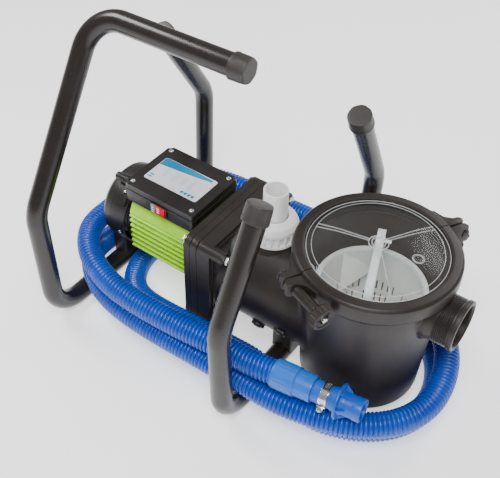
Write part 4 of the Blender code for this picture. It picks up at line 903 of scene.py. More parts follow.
def make_fan_cover():
    """Domed cover with two raised square pads, a slotted back and four screws round its side."""
    start, end = COVER_X
    outline = soften([(0.0125, start), (0.0380, start, 0.0040), (0.0555, start + 0.0028, 0.0100),
        (0.0640, start + 0.0110, 0.0090), (COVER_R, start + 0.0240, 0.0050), (COVER_R, end - 0.0008),
        (COVER_R - 0.0008, end), (COVER_R - 0.0024, end), (COVER_R - 0.0024, start + 0.0240, 0.0050),
        (0.0618, start + 0.0128, 0.0080), (0.0545, start + 0.0052, 0.0080),
        (0.0380, start + 0.0024, 0.0040), (0.0125, start + 0.0024)], 6)
    shape = bmesh.new()
    turned(shape, outline, X_AXIS, 128, ring=True)
    cover = piece("motor_fan_cover", shape, "cover_plastic", "base", "fan_cover")
    cutters = bmesh.new()
    for low, high, width in ((0.0160, 0.0260, 0.0017), (0.0290, 0.0400, 0.0024)):
        for k in range(COVER_SLOTS):
            brick(cutters, (low, -width, start - 0.004), (high, width, start + 0.006), X_AXIS
                @ spun(k + 0.5, COVER_SLOTS), 0.0006, 1)
    carve(cover, cutters)

    # raised square pads, one on each side
    shape = bmesh.new()
    for angle in (228.0, 132.0):
        slab(shape, rectangle(0.0098, 0.0098, 0.0022), 0.0052, on_cover(angle, 0.0646, -0.2620), 0.0008,
            3)
    piece("cover_pads", shape, "cover_plastic", "base")
    shape = bmesh.new()
    for angle, x in ((283.0, -0.2600), (217.0, -0.2630), (143.0, -0.2630), (77.0, -0.2600)):
        screw_head(shape, on_cover(angle, COVER_R - 0.0004, x), 0.0032)
    piece("cover_side_screws", shape, "screw_chrome", "base")


def screw_head(shape, place, radius):
    """Pan head with a cross recess, standing on its own +Z."""
    lathe(shape, [(0, 0.0000), (radius, 0.0000, 0.0002), (radius, radius * 0.28, radius * 0.3),
        (radius * 0.72, radius * 0.62, radius * 0.3), (radius * 0.34, radius * 0.70),
        (radius * 0.22, radius * 0.42), (0, radius * 0.36)], place, 32)
    for spin in (0, 90):
        arm = place @ turn_z(spin)
        for side in (-1, 1):
            brick(shape, (side * radius * 0.50 - radius * 0.17, -radius * 0.05, radius * 0.5),
                (side * radius * 0.50 + radius * 0.17, radius * 0.05, radius * 0.705), arm,
                radius * 0.02, 1)


# ---------------------------------------------------------------- pump end
def plate_outline(inset=0.0):
    return rectangle(PLATE_HALF[0] - inset, PLATE_HALF[1] - inset, PLATE_CORNER, 8)


def make_bracket():
    shape = bmesh.new()
    slab(shape, plate_outline(), 0.0110, section_at(PLATE_X[0]), 0.0016, 3)
    slab(shape, plate_outline(0.0012), 0.0120, section_at(PLATE_X[0] + 0.0062), 0.0004)
    slab(shape, plate_outline(), 0.0120, section_at(PLATE_X[0] + 0.0116), 0.0014, 3)
    piece("adapter_plate", shape, "pump_plastic", "base", "motor_bracket")

    head = PLATE_X[0] - 0.0003
    nut = BOSS_X + 0.0003
    for k, (sy, sz) in enumerate(((-1, 1), (1, 1), (1, -1), (-1, -1))):
        place = along((1, 0, 0), (0, sy * BOLT_Y, AXIS_Z + sz * BOLT_Z), 0.3 * k)
        shape = bmesh.new()
        lathe(shape, [(0, head - 0.0010), (0.0086, head - 0.0010, 0.0002), (0.0086, head), (0, head)],
            place, 40)
        slab(shape, circle(HEX_R, 6), 0.0050, place @ shift(0, 0, head - 0.0058), 0.0006)
        slab(shape, circle(HEX_R, 6), 0.0052, place @ shift(0, 0, nut), 0.0006)
        lathe(shape, [(0, nut), (0.0036, nut), (0.0036, nut + 0.0058, 0.0005), (0, nut + 0.0060)],
            place, 32)
        piece(f"bolt_{k + 1}", shape, "bright_steel", "base", f"through_bolt_{k + 1}")


def pot_radius(z):
    """Outside radius of the tapered pot wall at a height."""
    return POT_R_LOW + (POT_R_HIGH - POT_R_LOW) * (z - POT_Z[0]) / (POT_Z[1] - POT_Z[0])


def make_volute():
    """Square flange, corner bosses with gussets, round barrel and the neck on top."""
    shape = bmesh.new()
    slab(shape, plate_outline(), FLANGE_X[1] - FLANGE_X[0] - 0.0004, section_at(FLANGE_X[0] + 0.0004),
        0.0018, 3)
    slab(shape, plate_outline(0.0060), 0.0040, section_at(FLANGE_X[1] - 0.0010), 0.0016, 3)
    for sy in (1, -1):
        for sz in (1, -1):
            place = along((1, 0, 0), (0, sy * BOLT_Y, AXIS_Z + sz * BOLT_Z))
            lathe(shape, [(0, FLANGE_X[0] + 0.004), (0.0106, FLANGE_X[0] + 0.004),
                (0.0106, BOSS_X - 0.004, 0.001), (0.0100, BOSS_X, 0.0012), (0.0048, BOSS_X, 0.0004),
                (0.0048, BOSS_X - 0.002), (0, BOSS_X - 0.002)], place, 56)
            gusset(shape, sy, sz)
    piece("volute_flange", shape, "pump_plastic", "base", "volute_casing")

    barrel = bmesh.new()
    blend = 0.011
    sides = 160
    wall_line = soften([(0.0880, -0.0480), (0.0850, -0.0455, 0.003), (BARREL_R + 0.0012, -0.0340, 0.004),
        (BARREL_R, -0.0250, 0.004), (BARREL_R, 0.0)], 5, closed=False)
    rows = []
    for k in range(sides):
        angle = 2 * math.pi * k / sides
        cos, sin = math.cos(angle), math.sin(angle)
        row = []
        for radius, x in wall_line:
            row.append(Vector((x, radius * cos, AXIS_Z + radius * sin)))

        def wall(radius):
            y, z = radius * cos, AXIS_Z + radius * sin
            return Vector((POT_X - math.sqrt(max(1e-6, pot_radius(z) ** 2 - y * y)), y, z))

        corner = wall(BARREL_R)
        start = corner - Vector((blend, 0, 0))
        end = wall(BARREL_R + blend * 0.72) + Vector((0.0016, 0, 0))
        for step in range(9):
            t = step / 8
            row.append(start * (1 - t) ** 2 + corner * 2 * t * (1 - t) + end * t * t)
        rows.append([barrel.verts.new(p) for p in row])
    for k in range(sides):
        low, high = rows[k - 1], rows[k]
        for j in range(len(low) - 1):
            barrel.faces.new((low[j], high[j], high[j + 1], low[j + 1]))
    bmesh.ops.recalc_face_normals(barrel, faces=barrel.faces)
    # neck, with a collar where it leaves the barrel
    lathe(barrel, [(0.0150, AXIS_Z + 0.07), (0.0390, AXIS_Z + 0.0700), (0.0345, AXIS_Z + 0.0790, 0.003),
        (0.0320, AXIS_Z + 0.0800, 0.001), (NECK_R, AXIS_Z + 0.0810, 0.001), (NECK_R, NECK_TOP, 0.0006),
        (0.0150, NECK_TOP)], None, 72, ring=True)
    # small square lug low on the near side, beside the pot
    lug = X_AXIS @ turn_z(290)
    brick(barrel, (BARREL_R - 0.004, -0.007, 0.0620), (BARREL_R + 0.0042, 0.006, 0.0760), lug, 0.0020, 3)
    brick(barrel, (BARREL_R - 0.004, -0.0025, 0.0560), (BARREL_R + 0.0022, 0.0015, 0.0640), lug, 0.0012,
        3)
    piece("pump_barrel", barrel, "pump_plastic", "base", sharp=40.0)

    shape = bmesh.new()
    seat = Vector((DRAIN_X, 0, AXIS_Z)) + DRAIN_SIDE * BARREL_R
    place = along(DRAIN_SIDE, seat)

    def grip(angle, radius, height):
        return radius * (1 + 0.035 * math.cos(12 * angle)) if radius > 0.0095 else radius

    lathe(shape, [(0, -0.0080), (0.0056, -0.0080, 0.0004), (0.0058, 0.0012), (0.0104, 0.0012, 0.0004),
        (0.0104, 0.0058, 0.0008), (0.0090, 0.0064), (0.0060, 0.0066, 0.0003), (0.0056, 0.0078, 0.0006),
        (0, 0.0078)], place, 96, ripple=grip, steps=3)
    piece("drain_screw", shape, "pump_plastic", "drain", "drain_plug")
    shape = bmesh.new()
    lathe(shape, [(0.0070, -0.004), (0.0135, -0.004), (0.0122, 0.0009, 0.0006), (0.0070, 0.0009)],
        place, 56, ring=True)
    piece("drain_seat", shape, "pump_plastic", "base")


def gusset(shape, sy, sz):
    """Sloping web from a corner boss in towards the barrel."""
    outline = soften([(FLANGE_X[1] - 0.002, 0), (BOSS_X - 0.002, 0, 0.001),
        (BOSS_X - 0.004, 0.003, 0.002), (FLANGE_X[1] + 0.002, 0.040, 0.003),
        (FLANGE_X[1] - 0.002, 0.040)])
    # outline x is world X; outline y runs from the boss towards the middle of the flange
    for direction, thick in (((0, -sy, 0), 0.0030), ((0, 0, -sz), 0.0030)):
        run = Vector(direction)
        up = Vector((1, 0, 0)).cross(run)
        base = Vector((0, sy * BOLT_Y, AXIS_Z + sz * BOLT_Z)) + run * 0.0060 - up * thick / 2
        place = Matrix(((1, run.x, up.x, base.x), (0, run.y, up.y, base.y), (0, run.z, up.z, base.z),
            (0, 0, 0, 1)))
        slab(shape, outline, thick, place, 0.0006)


def make_discharge():
    """White union nut with a windowed skirt, and the open hose tail."""
    low, high = NUT_Z
    shape = bmesh.new()
    lathe(shape, [(0.0310, low), (NUT_R, low, 0.0010), (NUT_R, low + 0.0050, 0.0010),
        (NUT_R - 0.0030, low + 0.0058, 0.0006), (NUT_R - 0.0030, low + 0.0200, 0.0006),
        (NUT_R - 0.0004, low + 0.0208, 0.0008), (NUT_R - 0.0004, high - 0.0120, 0.0030),
        (NUT_R - 0.0040, high - 0.0050, 0.0030), (0.0262, high - 0.0020, 0.0020),
        (0.0225, high, 0.0012), (0.0205, high, 0.0006), (0.0205, low + 0.0140), (0.0310, low + 0.0140)],
        None, 120, ring=True, steps=5)
    for k in range(NUT_RIBS):
        width = 0.0016 if k % 5 else 0.0034
        brick(shape, (NUT_R - 0.0042, -width, low + 0.0040), (NUT_R - 0.0006, width, low + 0.0215),
            turn_z(360 * (k + 0.5) / NUT_RIBS), 0.0006)
    piece("union_collar", shape, "white_plastic", "nut", "union_nut")

    shoulder = NECK_TOP + 0.0029
    shape = bmesh.new()
    lathe(shape, [(TAIL_BORE, shoulder), (0.0284, shoulder), (0.0284, shoulder + 0.0038, 0.0006),
        (TAIL_R + 0.0012, shoulder + 0.0044, 0.0006), (TAIL_R, 0.2480, 0.0006),
        (TAIL_R, TAIL_TOP, 0.0008), (TAIL_R - 0.0026, TAIL_TOP, 0.0008),
        (TAIL_R - 0.0034, TAIL_TOP - 0.0120), (TAIL_BORE, 0.2550)], None, 96, ring=True)
    piece("discharge_tail", shape, "white_plastic", "base", "hose_tail")


# ---------------------------------------------------------------- strainer
# corners of a white sheet inside the basket that paints a reflection seen in the lid
LID_REFLECTION_SHEET = [(0.1010, 0.0340, 0.1985), (0.1400, 0.0630, 0.1650), (0.1120, 0.0120, 0.1400)]


def make_pot():
    """Tapered pot with a stepped collar, and the threaded suction stub."""
    low, high = POT_Z
    inner_low = POT_R_LOW - POT_WALL
    inner_high = POT_R_HIGH - POT_WALL
    outline = soften([(0, low + 0.0030), (0.0560, low + 0.0030, 0.001), (0.0600, low, 0.002),
        (POT_R_LOW, low, 0.0060), (POT_R_HIGH - 0.0004, high - 0.0060, 0.0010),
        (POT_R_HIGH + 0.0006, high - 0.0030, 0.0020), (0.1036, high + 0.0020, 0.0030),
        (COLLAR_R - 0.0006, high + 0.0040, 0.0020), (COLLAR_R - 0.0006, COLLAR_TOP, 0.0010),
        (inner_high, COLLAR_TOP, 0.0012), (inner_high, high, 0.004), (inner_low, low + 0.0060, 0.0060),
        (0, low + 0.0060)], 6, closed=False)
    shape = bmesh.new()
    turned(shape, outline, POT_AXIS, 160)
    pot = piece("pot", shape, "pump_plastic", "base", "strainer_pot")
    cutters = bmesh.new()
    cylinder(cutters, PORT_BORE, POT_X + 0.05, POT_X + 0.15, PORT_AXIS, 72)
    cylinder(cutters, EYE_R, POT_X - 0.14, POT_X - 0.04, X_AXIS, 64)
    carve(pot, cutters)

    # suction stub: blend at the pot, fine thread, then a thicker rounded lip
    shape = bmesh.new()
    root = POT_X + 0.0880
    thread = []
    start = POT_X + 0.1080
    for k in range(8):
        x = start + 0.0026 * k
        thread += [(PORT_R - 0.0022, x), (PORT_R - 0.0008, x + 0.0009, 0.0003),
            (PORT_R - 0.0008, x + 0.0014, 0.0003), (PORT_R - 0.0022, x + 0.0023)]
    outline = [(PORT_BORE, root), (PORT_R + 0.0030, root), (PORT_R + 0.0015, POT_X + 0.0990, 0.0050),
        (PORT_R - 0.0015, POT_X + 0.1060, 0.0030)] + thread
    outline += [(PORT_R - 0.0022, PORT_END - 0.0078), (PORT_R + 0.0004, PORT_END - 0.0072, 0.0010),
        (PORT_R + 0.0006, PORT_END - 0.0006, 0.0016), (PORT_R - 0.0020, PORT_END, 0.0014),
        (PORT_BORE + 0.0014, PORT_END, 0.0010), (PORT_BORE, PORT_END - 0.0030, 0.0010)]
    lathe(shape, outline, PORT_AXIS, 112, ring=True)
    stub_blend(shape)
    piece("suction_stub", shape, "pump_plastic", "base")


def stub_blend(shape):
    """Concave skirt where the suction stub leaves the pot."""
    part = bmesh.new()
    sides = 96
    rows = []
    for k in range(sides):
        angle = 2 * math.pi * k / sides

        def wall(radius, out=0.0):
            y, z = radius * math.cos(angle), PORT_Z + radius * math.sin(angle)
            reach = min(POT_R_HIGH, pot_radius(z)) + out
            return Vector((POT_X + math.sqrt(reach ** 2 - y * y), y, z))

        inner = PORT_R - 0.0010
        corner = wall(inner)
        start = corner + Vector((0.0130, 0, 0))
        end = wall(inner + 0.0085, -0.0012)
        row = [start * (1 - t) ** 2 + corner * 2 * t * (1 - t) + end * t * t
            for t in (step / 8 for step in range(9))]
        row.append(wall(inner + 0.0070, -0.0035))
        row.append(wall(inner - 0.0030, -0.0035))
        row.append(start + Vector((0, -0.0020 * math.cos(angle), -0.0020 * math.sin(angle))))
        rows.append([part.verts.new(p) for p in row])
    for k in range(sides):
        low, high = rows[k - 1], rows[k]
        for j in range(len(low)):
            i = (j + 1) % len(low)
            part.faces.new((low[j], high[j], high[i], low[i]))
    absorb(shape, part, None)


def perforated_wall(shape, low, high, sides, bands, thickness, place):
    """Conical wall with slots: bands of (start, end) heights where every other column is open."""
    part = bmesh.new()
    heights = [low[1]]
    for start, end in bands:
        heights += [start, end]
    heights.append(high[1])
    rows = []
    for height in heights:
        share = (height - low[1]) / (high[1] - low[1])
        radius = low[0] + (high[0] - low[0]) * share
        rows.append([part.verts.new((radius * math.cos(2 * math.pi * k / sides),
            radius * math.sin(2 * math.pi * k / sides), height)) for k in range(sides)])
    for level, (bottom, top) in enumerate(zip(rows, rows[1:])):
        open_band = level % 2 == 1
        for k in range(sides):
            j = (k + 1) % sides
            if open_band and k % 4 == 0 and (k // 4 + level // 2) % 6:
                continue
            part.faces.new((bottom[k], bottom[j], top[j], top[k]))
    bmesh.ops.recalc_face_normals(part, faces=part.faces)
    bmesh.ops.solidify(part, geom=part.faces[:], thickness=thickness)
    absorb(shape, part, place)


def make_basket():
    """White basket: slotted wall, ribbed floor, broad flanged rim and the swinging bail."""
    floor, rim = BASKET_Z
    shape = bmesh.new()
    perforated_wall(shape, (0.0640, floor + 0.001), (0.0748, rim - 0.0030), 192,
        [(floor + 0.012, floor + 0.030), (floor + 0.036, floor + 0.054),
        (floor + 0.060, floor + 0.078)], 0.0018, POT_AXIS)
    lathe(shape, [(0.0735, rim - 0.0090), (0.0752, rim - 0.0090, 0.0006),
        (0.0760, rim - 0.0050, 0.0010), (0.0804, rim - 0.0045, 0.0008), (0.0804, rim, 0.0010),
        (0.0738, rim, 0.0010)], POT_AXIS, 144, ring=True)
    lathe(shape, [(0, floor), (0.0640, floor, 0.0020), (0.0644, floor + 0.0040, 0.0010),
        (0.0622, floor + 0.0040), (0.0615, floor + 0.0022), (0, floor + 0.0022)], POT_AXIS, 96)
    for k in range(12):
        spin = POT_AXIS @ turn_z(30 * k + 6)
        brick(shape, (0.0620, -0.0010, floor + 0.002), (0.0655, 0.0010, floor + 0.010), spin, 0.0004)
        brick(shape, (0.0090, -0.0007, floor + 0.0020), (0.0600, 0.0007, floor + 0.0038), spin, 0.0003)
    # white triangular sheet standing inside, on the side of the pump: a painted reflection, put where the
    # clear lid shows a bright triangle
    corners = [Vector(p) for p in LID_REFLECTION_SHEET]
    normal = (corners[1] - corners[0]).cross(corners[2] - corners[0]).normalized() * 0.0007
    part = bmesh.new()
    near = [part.verts.new(p + normal) for p in corners]
    far = [part.verts.new(p - normal) for p in corners]
    part.faces.new(near)
    part.faces.new(far[::-1])
    for k in range(3):
        part.faces.new((near[k - 1], far[k - 1], far[k], near[k]))
    bmesh.ops.bevel(part, geom=part.edges[:], offset=0.0004, segments=2, affect="EDGES", profile=0.5)
    absorb(shape, part, None)
    piece("basket", shape, "basket_plastic", "basket", "strainer_basket", sharp=40.0)

    foot = rim + 0.0012
    top = BAIL_TOP + 0.0080
    half = BAIL_HALF - 0.0010
    path = fillet_path([(-half, 0, foot), (-half, 0, top), (half, 0, top), (half, 0, foot)],
        [0.020, 0.020], 10)
    strap = [(-x, y) for x, y in rectangle(0.0056, 0.0009, 0.0006, 2)]
    place = POT_AXIS @ turn_z(HANDLE_DEG)
    shape = bmesh.new()
    sweep(shape, path, strap, place, upright=(1, 0, 0))
    rib = [(-x, y) for x, y in rectangle(0.0009, 0.0011, 0.0003, 2)]
    for side in (-0.0048, 0.0048):
        sweep(shape, path[3:-3], rib, place @ shift(0, side, 0), upright=(1, 0, 0))
    for side in (-1, 1):
        brick(shape, (side * half - 0.0016, -0.0045, foot + 0.0060),
            (side * half + 0.0006, 0.0045, foot + 0.0170), place, 0.0006)
    # little thumb lug on the far leg
    brick(shape, (-half + 0.0300, -0.0040, top - 0.0022), (-half + 0.0360, 0.0160, top - 0.0006), place,
        0.0008)
    piece("bail", shape, "basket_plastic", "bail", "basket_handle")


# ---------------------------------------------------------------- lid and clamp
LID_RIBS = (                 # degrees round the lid, offsets of the strands, half a strand's width
    (-172.0, (-0.0021, 0.0021), 0.00045), (61.0, (-0.0021, 0.0021), 0.00045), (-50.5, (0.0,), 0.0004))


def make_lid():
    """Clear lid: a shallow dome with raised rim beads, two double ribs, a single one and a boss."""
    edge = COLLAR_TOP + 0.0040
    outline = soften([(0, 0.2668), (0.0500, 0.2652, 0.01), (0.0900, 0.2608, 0.004),
        (0.0940, edge, 0.001), (LID_R - 0.0002, edge, 0.0010), (LID_R - 0.0002, 0.2688, 0.0012),
        (0.0976, 0.2690, 0.0010), (0.0966, 0.2728, 0.0015), (0.0900, 0.2756, 0.0040),
        (0.0600, 0.2806, 0.02), (0.0200, 0.2830, 0.01), (0, 0.2832)], 5, closed=False)
    shape = bmesh.new()
    turned(shape, outline, POT_AXIS, 144)
    piece("clear_lid", shape, "lid_clear", "lid_set", "pot_lid")

    shape = bmesh.new()
    lathe(shape, [(0.0961, 0.2728), (0.0963, 0.2742, 0.0004), (0.0970, 0.2740, 0.0004),
        (0.0974, 0.2730, 0.0003), (0.0970, 0.2722)], POT_AXIS, 144, ring=True)
    lathe(shape, [(0.0889, 0.2752), (0.0892, 0.2762, 0.0003), (0.0897, 0.2760, 0.0003),
        (0.0899, 0.2750)], POT_AXIS, 144, ring=True)
    for low, high, top in ((0.0128, 0.0142, 0.2846), (0.0088, 0.0100, 0.2860)):
        lathe(shape, [(low, 0.2826), (low, top, 0.0005), (high, top, 0.0005), (high, 0.2826)], POT_AXIS,
            72, ring=True)
    lathe(shape, [(0, 0.2828), (0.0060, 0.2828), (0.0052, 0.2872, 0.0014), (0.0022, 0.2888, 0.0012),
        (0.0010, 0.2880), (0, 0.2880)], POT_AXIS, 48, steps=5)
    for angle, sides, width in LID_RIBS:
        for side in sides:
            path = []
            for k in range(15):
                r = 0.0135 + (0.0760 * k / 14)
                path.append((r, side * (0.75 + 0.9 * k / 14), lid_height(r) + 0.0004))
            sweep(shape, path, rectangle(width, 0.0009, 0.0003, 2), POT_AXIS @ turn_z(angle), (0, 0, 1))
    # plain ring cast into the far side of the dome
    for radius in (0.0082, 0.0064):
        ring = [(0.0560 + radius * math.cos(a), radius * math.sin(a),
            lid_height(0.0560 + radius * math.cos(a)) + 0.0001)
            for a in (2 * math.pi * k / 40 for k in range(40))]
        sweep(shape, ring, rectangle(0.0004, 0.0003, 0.0001, 1), POT_AXIS @ turn_z(8.0), (0, 0, 1),
            closed=True)
    # these raised lines take the whiter, more opaque lid finish, a painted highlight on clear plastic
    piece("lid_ribs", shape, "lid_rib_painted_highlight", "lid_set")


def lid_height(radius):
    """Height of the top of the dome at a distance from its middle."""
    return float(np.interp(radius, [0, 0.02, 0.06, 0.09, 0.0966],
        [0.2832, 0.2829, 0.2803, 0.2754, 0.2728]))


def make_clamp():
    section = soften([(COLLAR_R + 0.0004, RING_Z[0], 0.0004), (0.1125, RING_Z[0], 0.0020),
        (RING_R, RING_Z[0] + 0.0060, 0.0030), (RING_R, RING_Z[1] - 0.0040, 0.0050),
        (0.1120, RING_Z[1] - 0.0004, 0.0040), (0.1020, RING_Z[1], 0.0020),
        (LID_CLEAR_R, RING_Z[1] - 0.0006, 0.0008), (LID_CLEAR_R, 0.2694, 0.0003),
        (LID_R + 0.0004, 0.2694), (LID_R + 0.0004, 0.2565), (COLLAR_R + 0.0004, 0.2560)], 5)
    for name, start, node_name in (("left_half_ring", SPLIT_DEG - 180, "clamp_ring_left"),
                                   ("right_half_ring", SPLIT_DEG, "clamp_ring_right")):
        shape = bmesh.new()
        part = bmesh.new()
        steps = 96
        gap = 0.35
        rows = []
        for k in range(steps + 1):
            angle = math.radians(start + gap + (180 - 2 * gap) * k / steps)
            rows.append([part.verts.new((r * math.cos(angle), r * math.sin(angle), z)) for r,
                z in section])
        skin(part, rows)
        part.faces.new(rows[0])
        part.faces.new(rows[-1][::-1])
        absorb(shape, part, POT_AXIS)
        for end, side in ((start, 1), (start + 180, -1)):
            make_ear(shape, end, side)
        piece(name, shape, "pump_plastic", "lid_set", node_name)


def make_ear(shape, end, side):
    """Lug at a half ring's end: a flared root, a flat tab and a rounded boss for the bolt."""
    mirror = Matrix.Diagonal((1, side, 1, 1))
    place = POT_AXIS @ turn_z(end) @ mirror
    # outline in plan: x outward, y away from the split
    plan = soften([(0.1090, 0.0009), (0.1370, 0.0009, 0.0015), (0.1415, 0.0040, 0.0030),
        (0.1405, 0.0118, 0.0030), (0.1290, 0.0135, 0.0050), (0.1195, 0.0210, 0.0080),
        (0.1128, 0.0380, 0.0060), (0.1085, 0.0395)], 5)
    slab(shape, plan, RING_Z[1] - RING_Z[0] - 0.0075, place @ shift(0, 0, RING_Z[0] + 0.0025), 0.0018, 3)
    boss = place @ along((0, 1, 0), (EAR_R, 0.0010, CLAMP_Z))
    lathe(shape, [(0, 0), (0.0105, 0), (0.0112, 0.0010, 0.0004), (0.0105, 0.0122, 0.0014), (0, 0.0122)],
        boss, 48)


def ear_place(degrees):
    """Middle of a pair of ears, and its outward and tangent directions."""
    angle = math.radians(degrees)
    radial = Vector((math.cos(angle), math.sin(angle), 0))
    tangent = Vector((-math.sin(angle), math.cos(angle), 0))
    return Vector((POT_X, 0, CLAMP_Z)) + radial * EAR_R, radial, tangent


def knurl(angle, radius, height):
    """Grip ridges round the rim of the hand knob."""
    if radius < 0.0155 or not 0.0602 < height < 0.0732:
        return radius
    return radius - 0.0012 * (0.5 - 0.5 * math.cos(KNOB_RIDGES * angle)) ** 0.6


def make_knob():
    """Near clamp: a leaning bolt, and its hand knob on a long tapered sleeve."""
    middle, radial, tangent = ear_place(SPLIT_DEG)
    axis = (tangent * 0.983 - radial * 0.178 - Vector((0, 0, 0.040))).normalized()
    place = along(axis, middle)
    stand = EAR_DEPTH + 0.0023
    shape = bmesh.new()
    lathe(shape, [(0, -stand), (CLAMP_BOLT_R, -stand), (CLAMP_BOLT_R, 0.0748, 0.0006), (0, 0.0753)],
        place, 40)
    for k in range(10):
        start = 0.0690 + 0.0006 * k
        turned(shape, [(0.0036, start), (0.00395, start + 0.0003), (0.0036, start + 0.0006)], place, 32,
            ring=True)
    piece("knob_bolt", shape, "bright_steel", "lid_set", "clamp_bolt_near")
    shape = bmesh.new()
    lathe(shape, [(0, -stand - 0.0048), (0.0062, -stand - 0.0048, 0.0010),
        (0.0083, -stand - 0.0030, 0.0014), (0.0083, -stand - 0.0002, 0.0004), (0, -stand - 0.0002)],
        place, 48)
    piece("knob_bolt_head", shape, "pump_plastic", "lid_set")

    outline = [(0.0042, stand + 0.0002), (0.0083, stand + 0.0002, 0.0008), (0.0078, 0.0400),
        (0.0074, 0.0560, 0.0030), (0.0100, 0.0592, 0.0010), (0.0166, 0.0601, 0.0010),
        (0.0177, 0.0612, 0.0008)]
    outline += [(0.0177, 0.0612 + 0.0112 * k / 5) for k in range(1, 5)]
    outline += [(0.0177, 0.0724, 0.0008), (0.0166, 0.0734, 0.0008), (0.0130, 0.0734, 0.0006),
        (0.0122, 0.0722, 0.0006), (0.0070, 0.0722, 0.0004), (0.0062, 0.0690), (0.0042, 0.0690)]
    shape = bmesh.new()
    lathe(shape, outline, place, 208, ring=True, ripple=knurl, steps=3)
    for k in range(KNOB_SPOKES):
        brick(shape, (0.0068, -0.0009, 0.0710), (0.0128, 0.0009, 0.0732), place @ spun(k, KNOB_SPOKES),
            0.0003)
    piece("hand_knob", shape, "pump_plastic", "knob", "clamp_knob")


def make_hinge_bolt():
    """Far clamp: the plain bolt and nut the half rings open about."""
    middle, _, tangent = ear_place(SPLIT_DEG - 180)
    place = along(tangent, middle)
    reach = EAR_DEPTH + 0.0003
    shape = bmesh.new()
    lathe(shape, [(0, -reach), (CLAMP_BOLT_R, -reach), (CLAMP_BOLT_R, reach + 0.0050, 0.0006),
        (0, reach + 0.0054)], place, 40)
    piece("hinge_bolt", shape, "bright_steel", "lid_set", "clamp_bolt_far")
    shape = bmesh.new()
    slab(shape, circle(0.0082, 6), 0.0046, place @ shift(0, 0, -reach - 0.0048), 0.0006)
    lathe(shape, [(0, -reach - 0.0014), (0.0084, -reach - 0.0014, 0.0003), (0.0084, -reach - 0.0002),
        (0, -reach - 0.0002)], place, 48)
    piece("hinge_bolt_head", shape, "pump_plastic", "lid_set")
    shape = bmesh.new()
    slab(shape, circle(0.0079, 6), 0.0040, place @ shift(0, 0, reach + 0.0001), 0.0005)
    piece("hinge_nut", shape, "bright_steel", "lid_set", "clamp_nut_far")


# ---------------------------------------------------------------- terminal box
def make_terminal_box():
    middle_x = (BOX_X[0] + BOX_X[1]) / 2
    half_x = (BOX_X[1] - BOX_X[0]) / 2
    shape = bmesh.new()
    slab(shape, rectangle(half_x, BOX_HALF_Y, 0.0060), BOX_Z[1] - BOX_Z[0],
        shift(middle_x, 0, BOX_Z[0]), 0.0010)
    box = piece("wiring_box", shape, "box_plastic", "base", "terminal_box")
    cutters = bmesh.new()
    brick(cutters, (BOX_X[0] + 0.003, -BOX_HALF_Y + 0.003, BOX_Z[0] + 0.003),
        (BOX_X[1] - 0.003, BOX_HALF_Y - 0.003, BOX_Z[1] + 0.01), None, 0.0010, 1)
    brick(cutters, (SWITCH.x - WINDOW_HALF, -BOX_HALF_Y - 0.01, SWITCH.z - 0.0098),
        (SWITCH.x + WINDOW_HALF, -BOX_HALF_Y + 0.01, SWITCH.z + 0.02), None, 0.0004, 1)
    carve(box, cutters, overlap=True)

    low = BOX_Z[1] + 0.0003
    shape = bmesh.new()
    slab(shape, rectangle(half_x + 0.0015, BOX_HALF_Y + 0.0015, 0.0075), 0.0030,
        shift(middle_x, 0, low), 0.0007)
    slab(shape, rectangle(half_x + 0.0004, BOX_HALF_Y + 0.0004, 0.0065), 0.0076,
        shift(middle_x, 0, low + 0.0014), 0.0006)
    slab(shape, rectangle(half_x + 0.0002, BOX_HALF_Y + 0.0002, 0.0065), 0.0124,
        shift(middle_x, 0, low + 0.0014), 0.0046, 2)
    cover = piece("box_cover", shape, "box_plastic", "base", "terminal_box_cover")
    cutters = bmesh.new()
    brick(cutters, (SWITCH.x - WINDOW_HALF, -BOX_HALF_Y - 0.01, low - 0.01), (SWITCH.x + WINDOW_HALF,
        -BOX_HALF_Y + 0.016, SWITCH.z + 0.0102), None, 0.0004, 1)
    for x in SCREW_X:
        for y in (-SCREW_Y, SCREW_Y):
            turned(cutters, [(0, BOX_LID_TOP - 0.0012), (0.0056, BOX_LID_TOP - 0.0012),
                (0.0060, BOX_LID_TOP + 0.004), (0, BOX_LID_TOP + 0.004)], shift(x, y, 0), 40)
    slab(cutters, rectangle(0.0538, 0.0330, 0.0060), 0.01,
        shift(PLATE_MIDDLE_X, -0.0010, BOX_LID_TOP - 0.0006))
    carve(cover, cutters, overlap=True)
    for k, (x, y) in enumerate([(x, y) for x in SCREW_X for y in (SCREW_Y, -SCREW_Y)]):
        shape = bmesh.new()
        screw_head(shape, shift(x, y, BOX_LID_TOP - 0.0010) @ turn_z(17 + 31 * k), 0.0043)
        piece(f"box_screw_{k + 1}", shape, "screw_chrome", "base", f"cover_screw_{k + 1}")
    make_label()
    make_switch()
    make_gland()


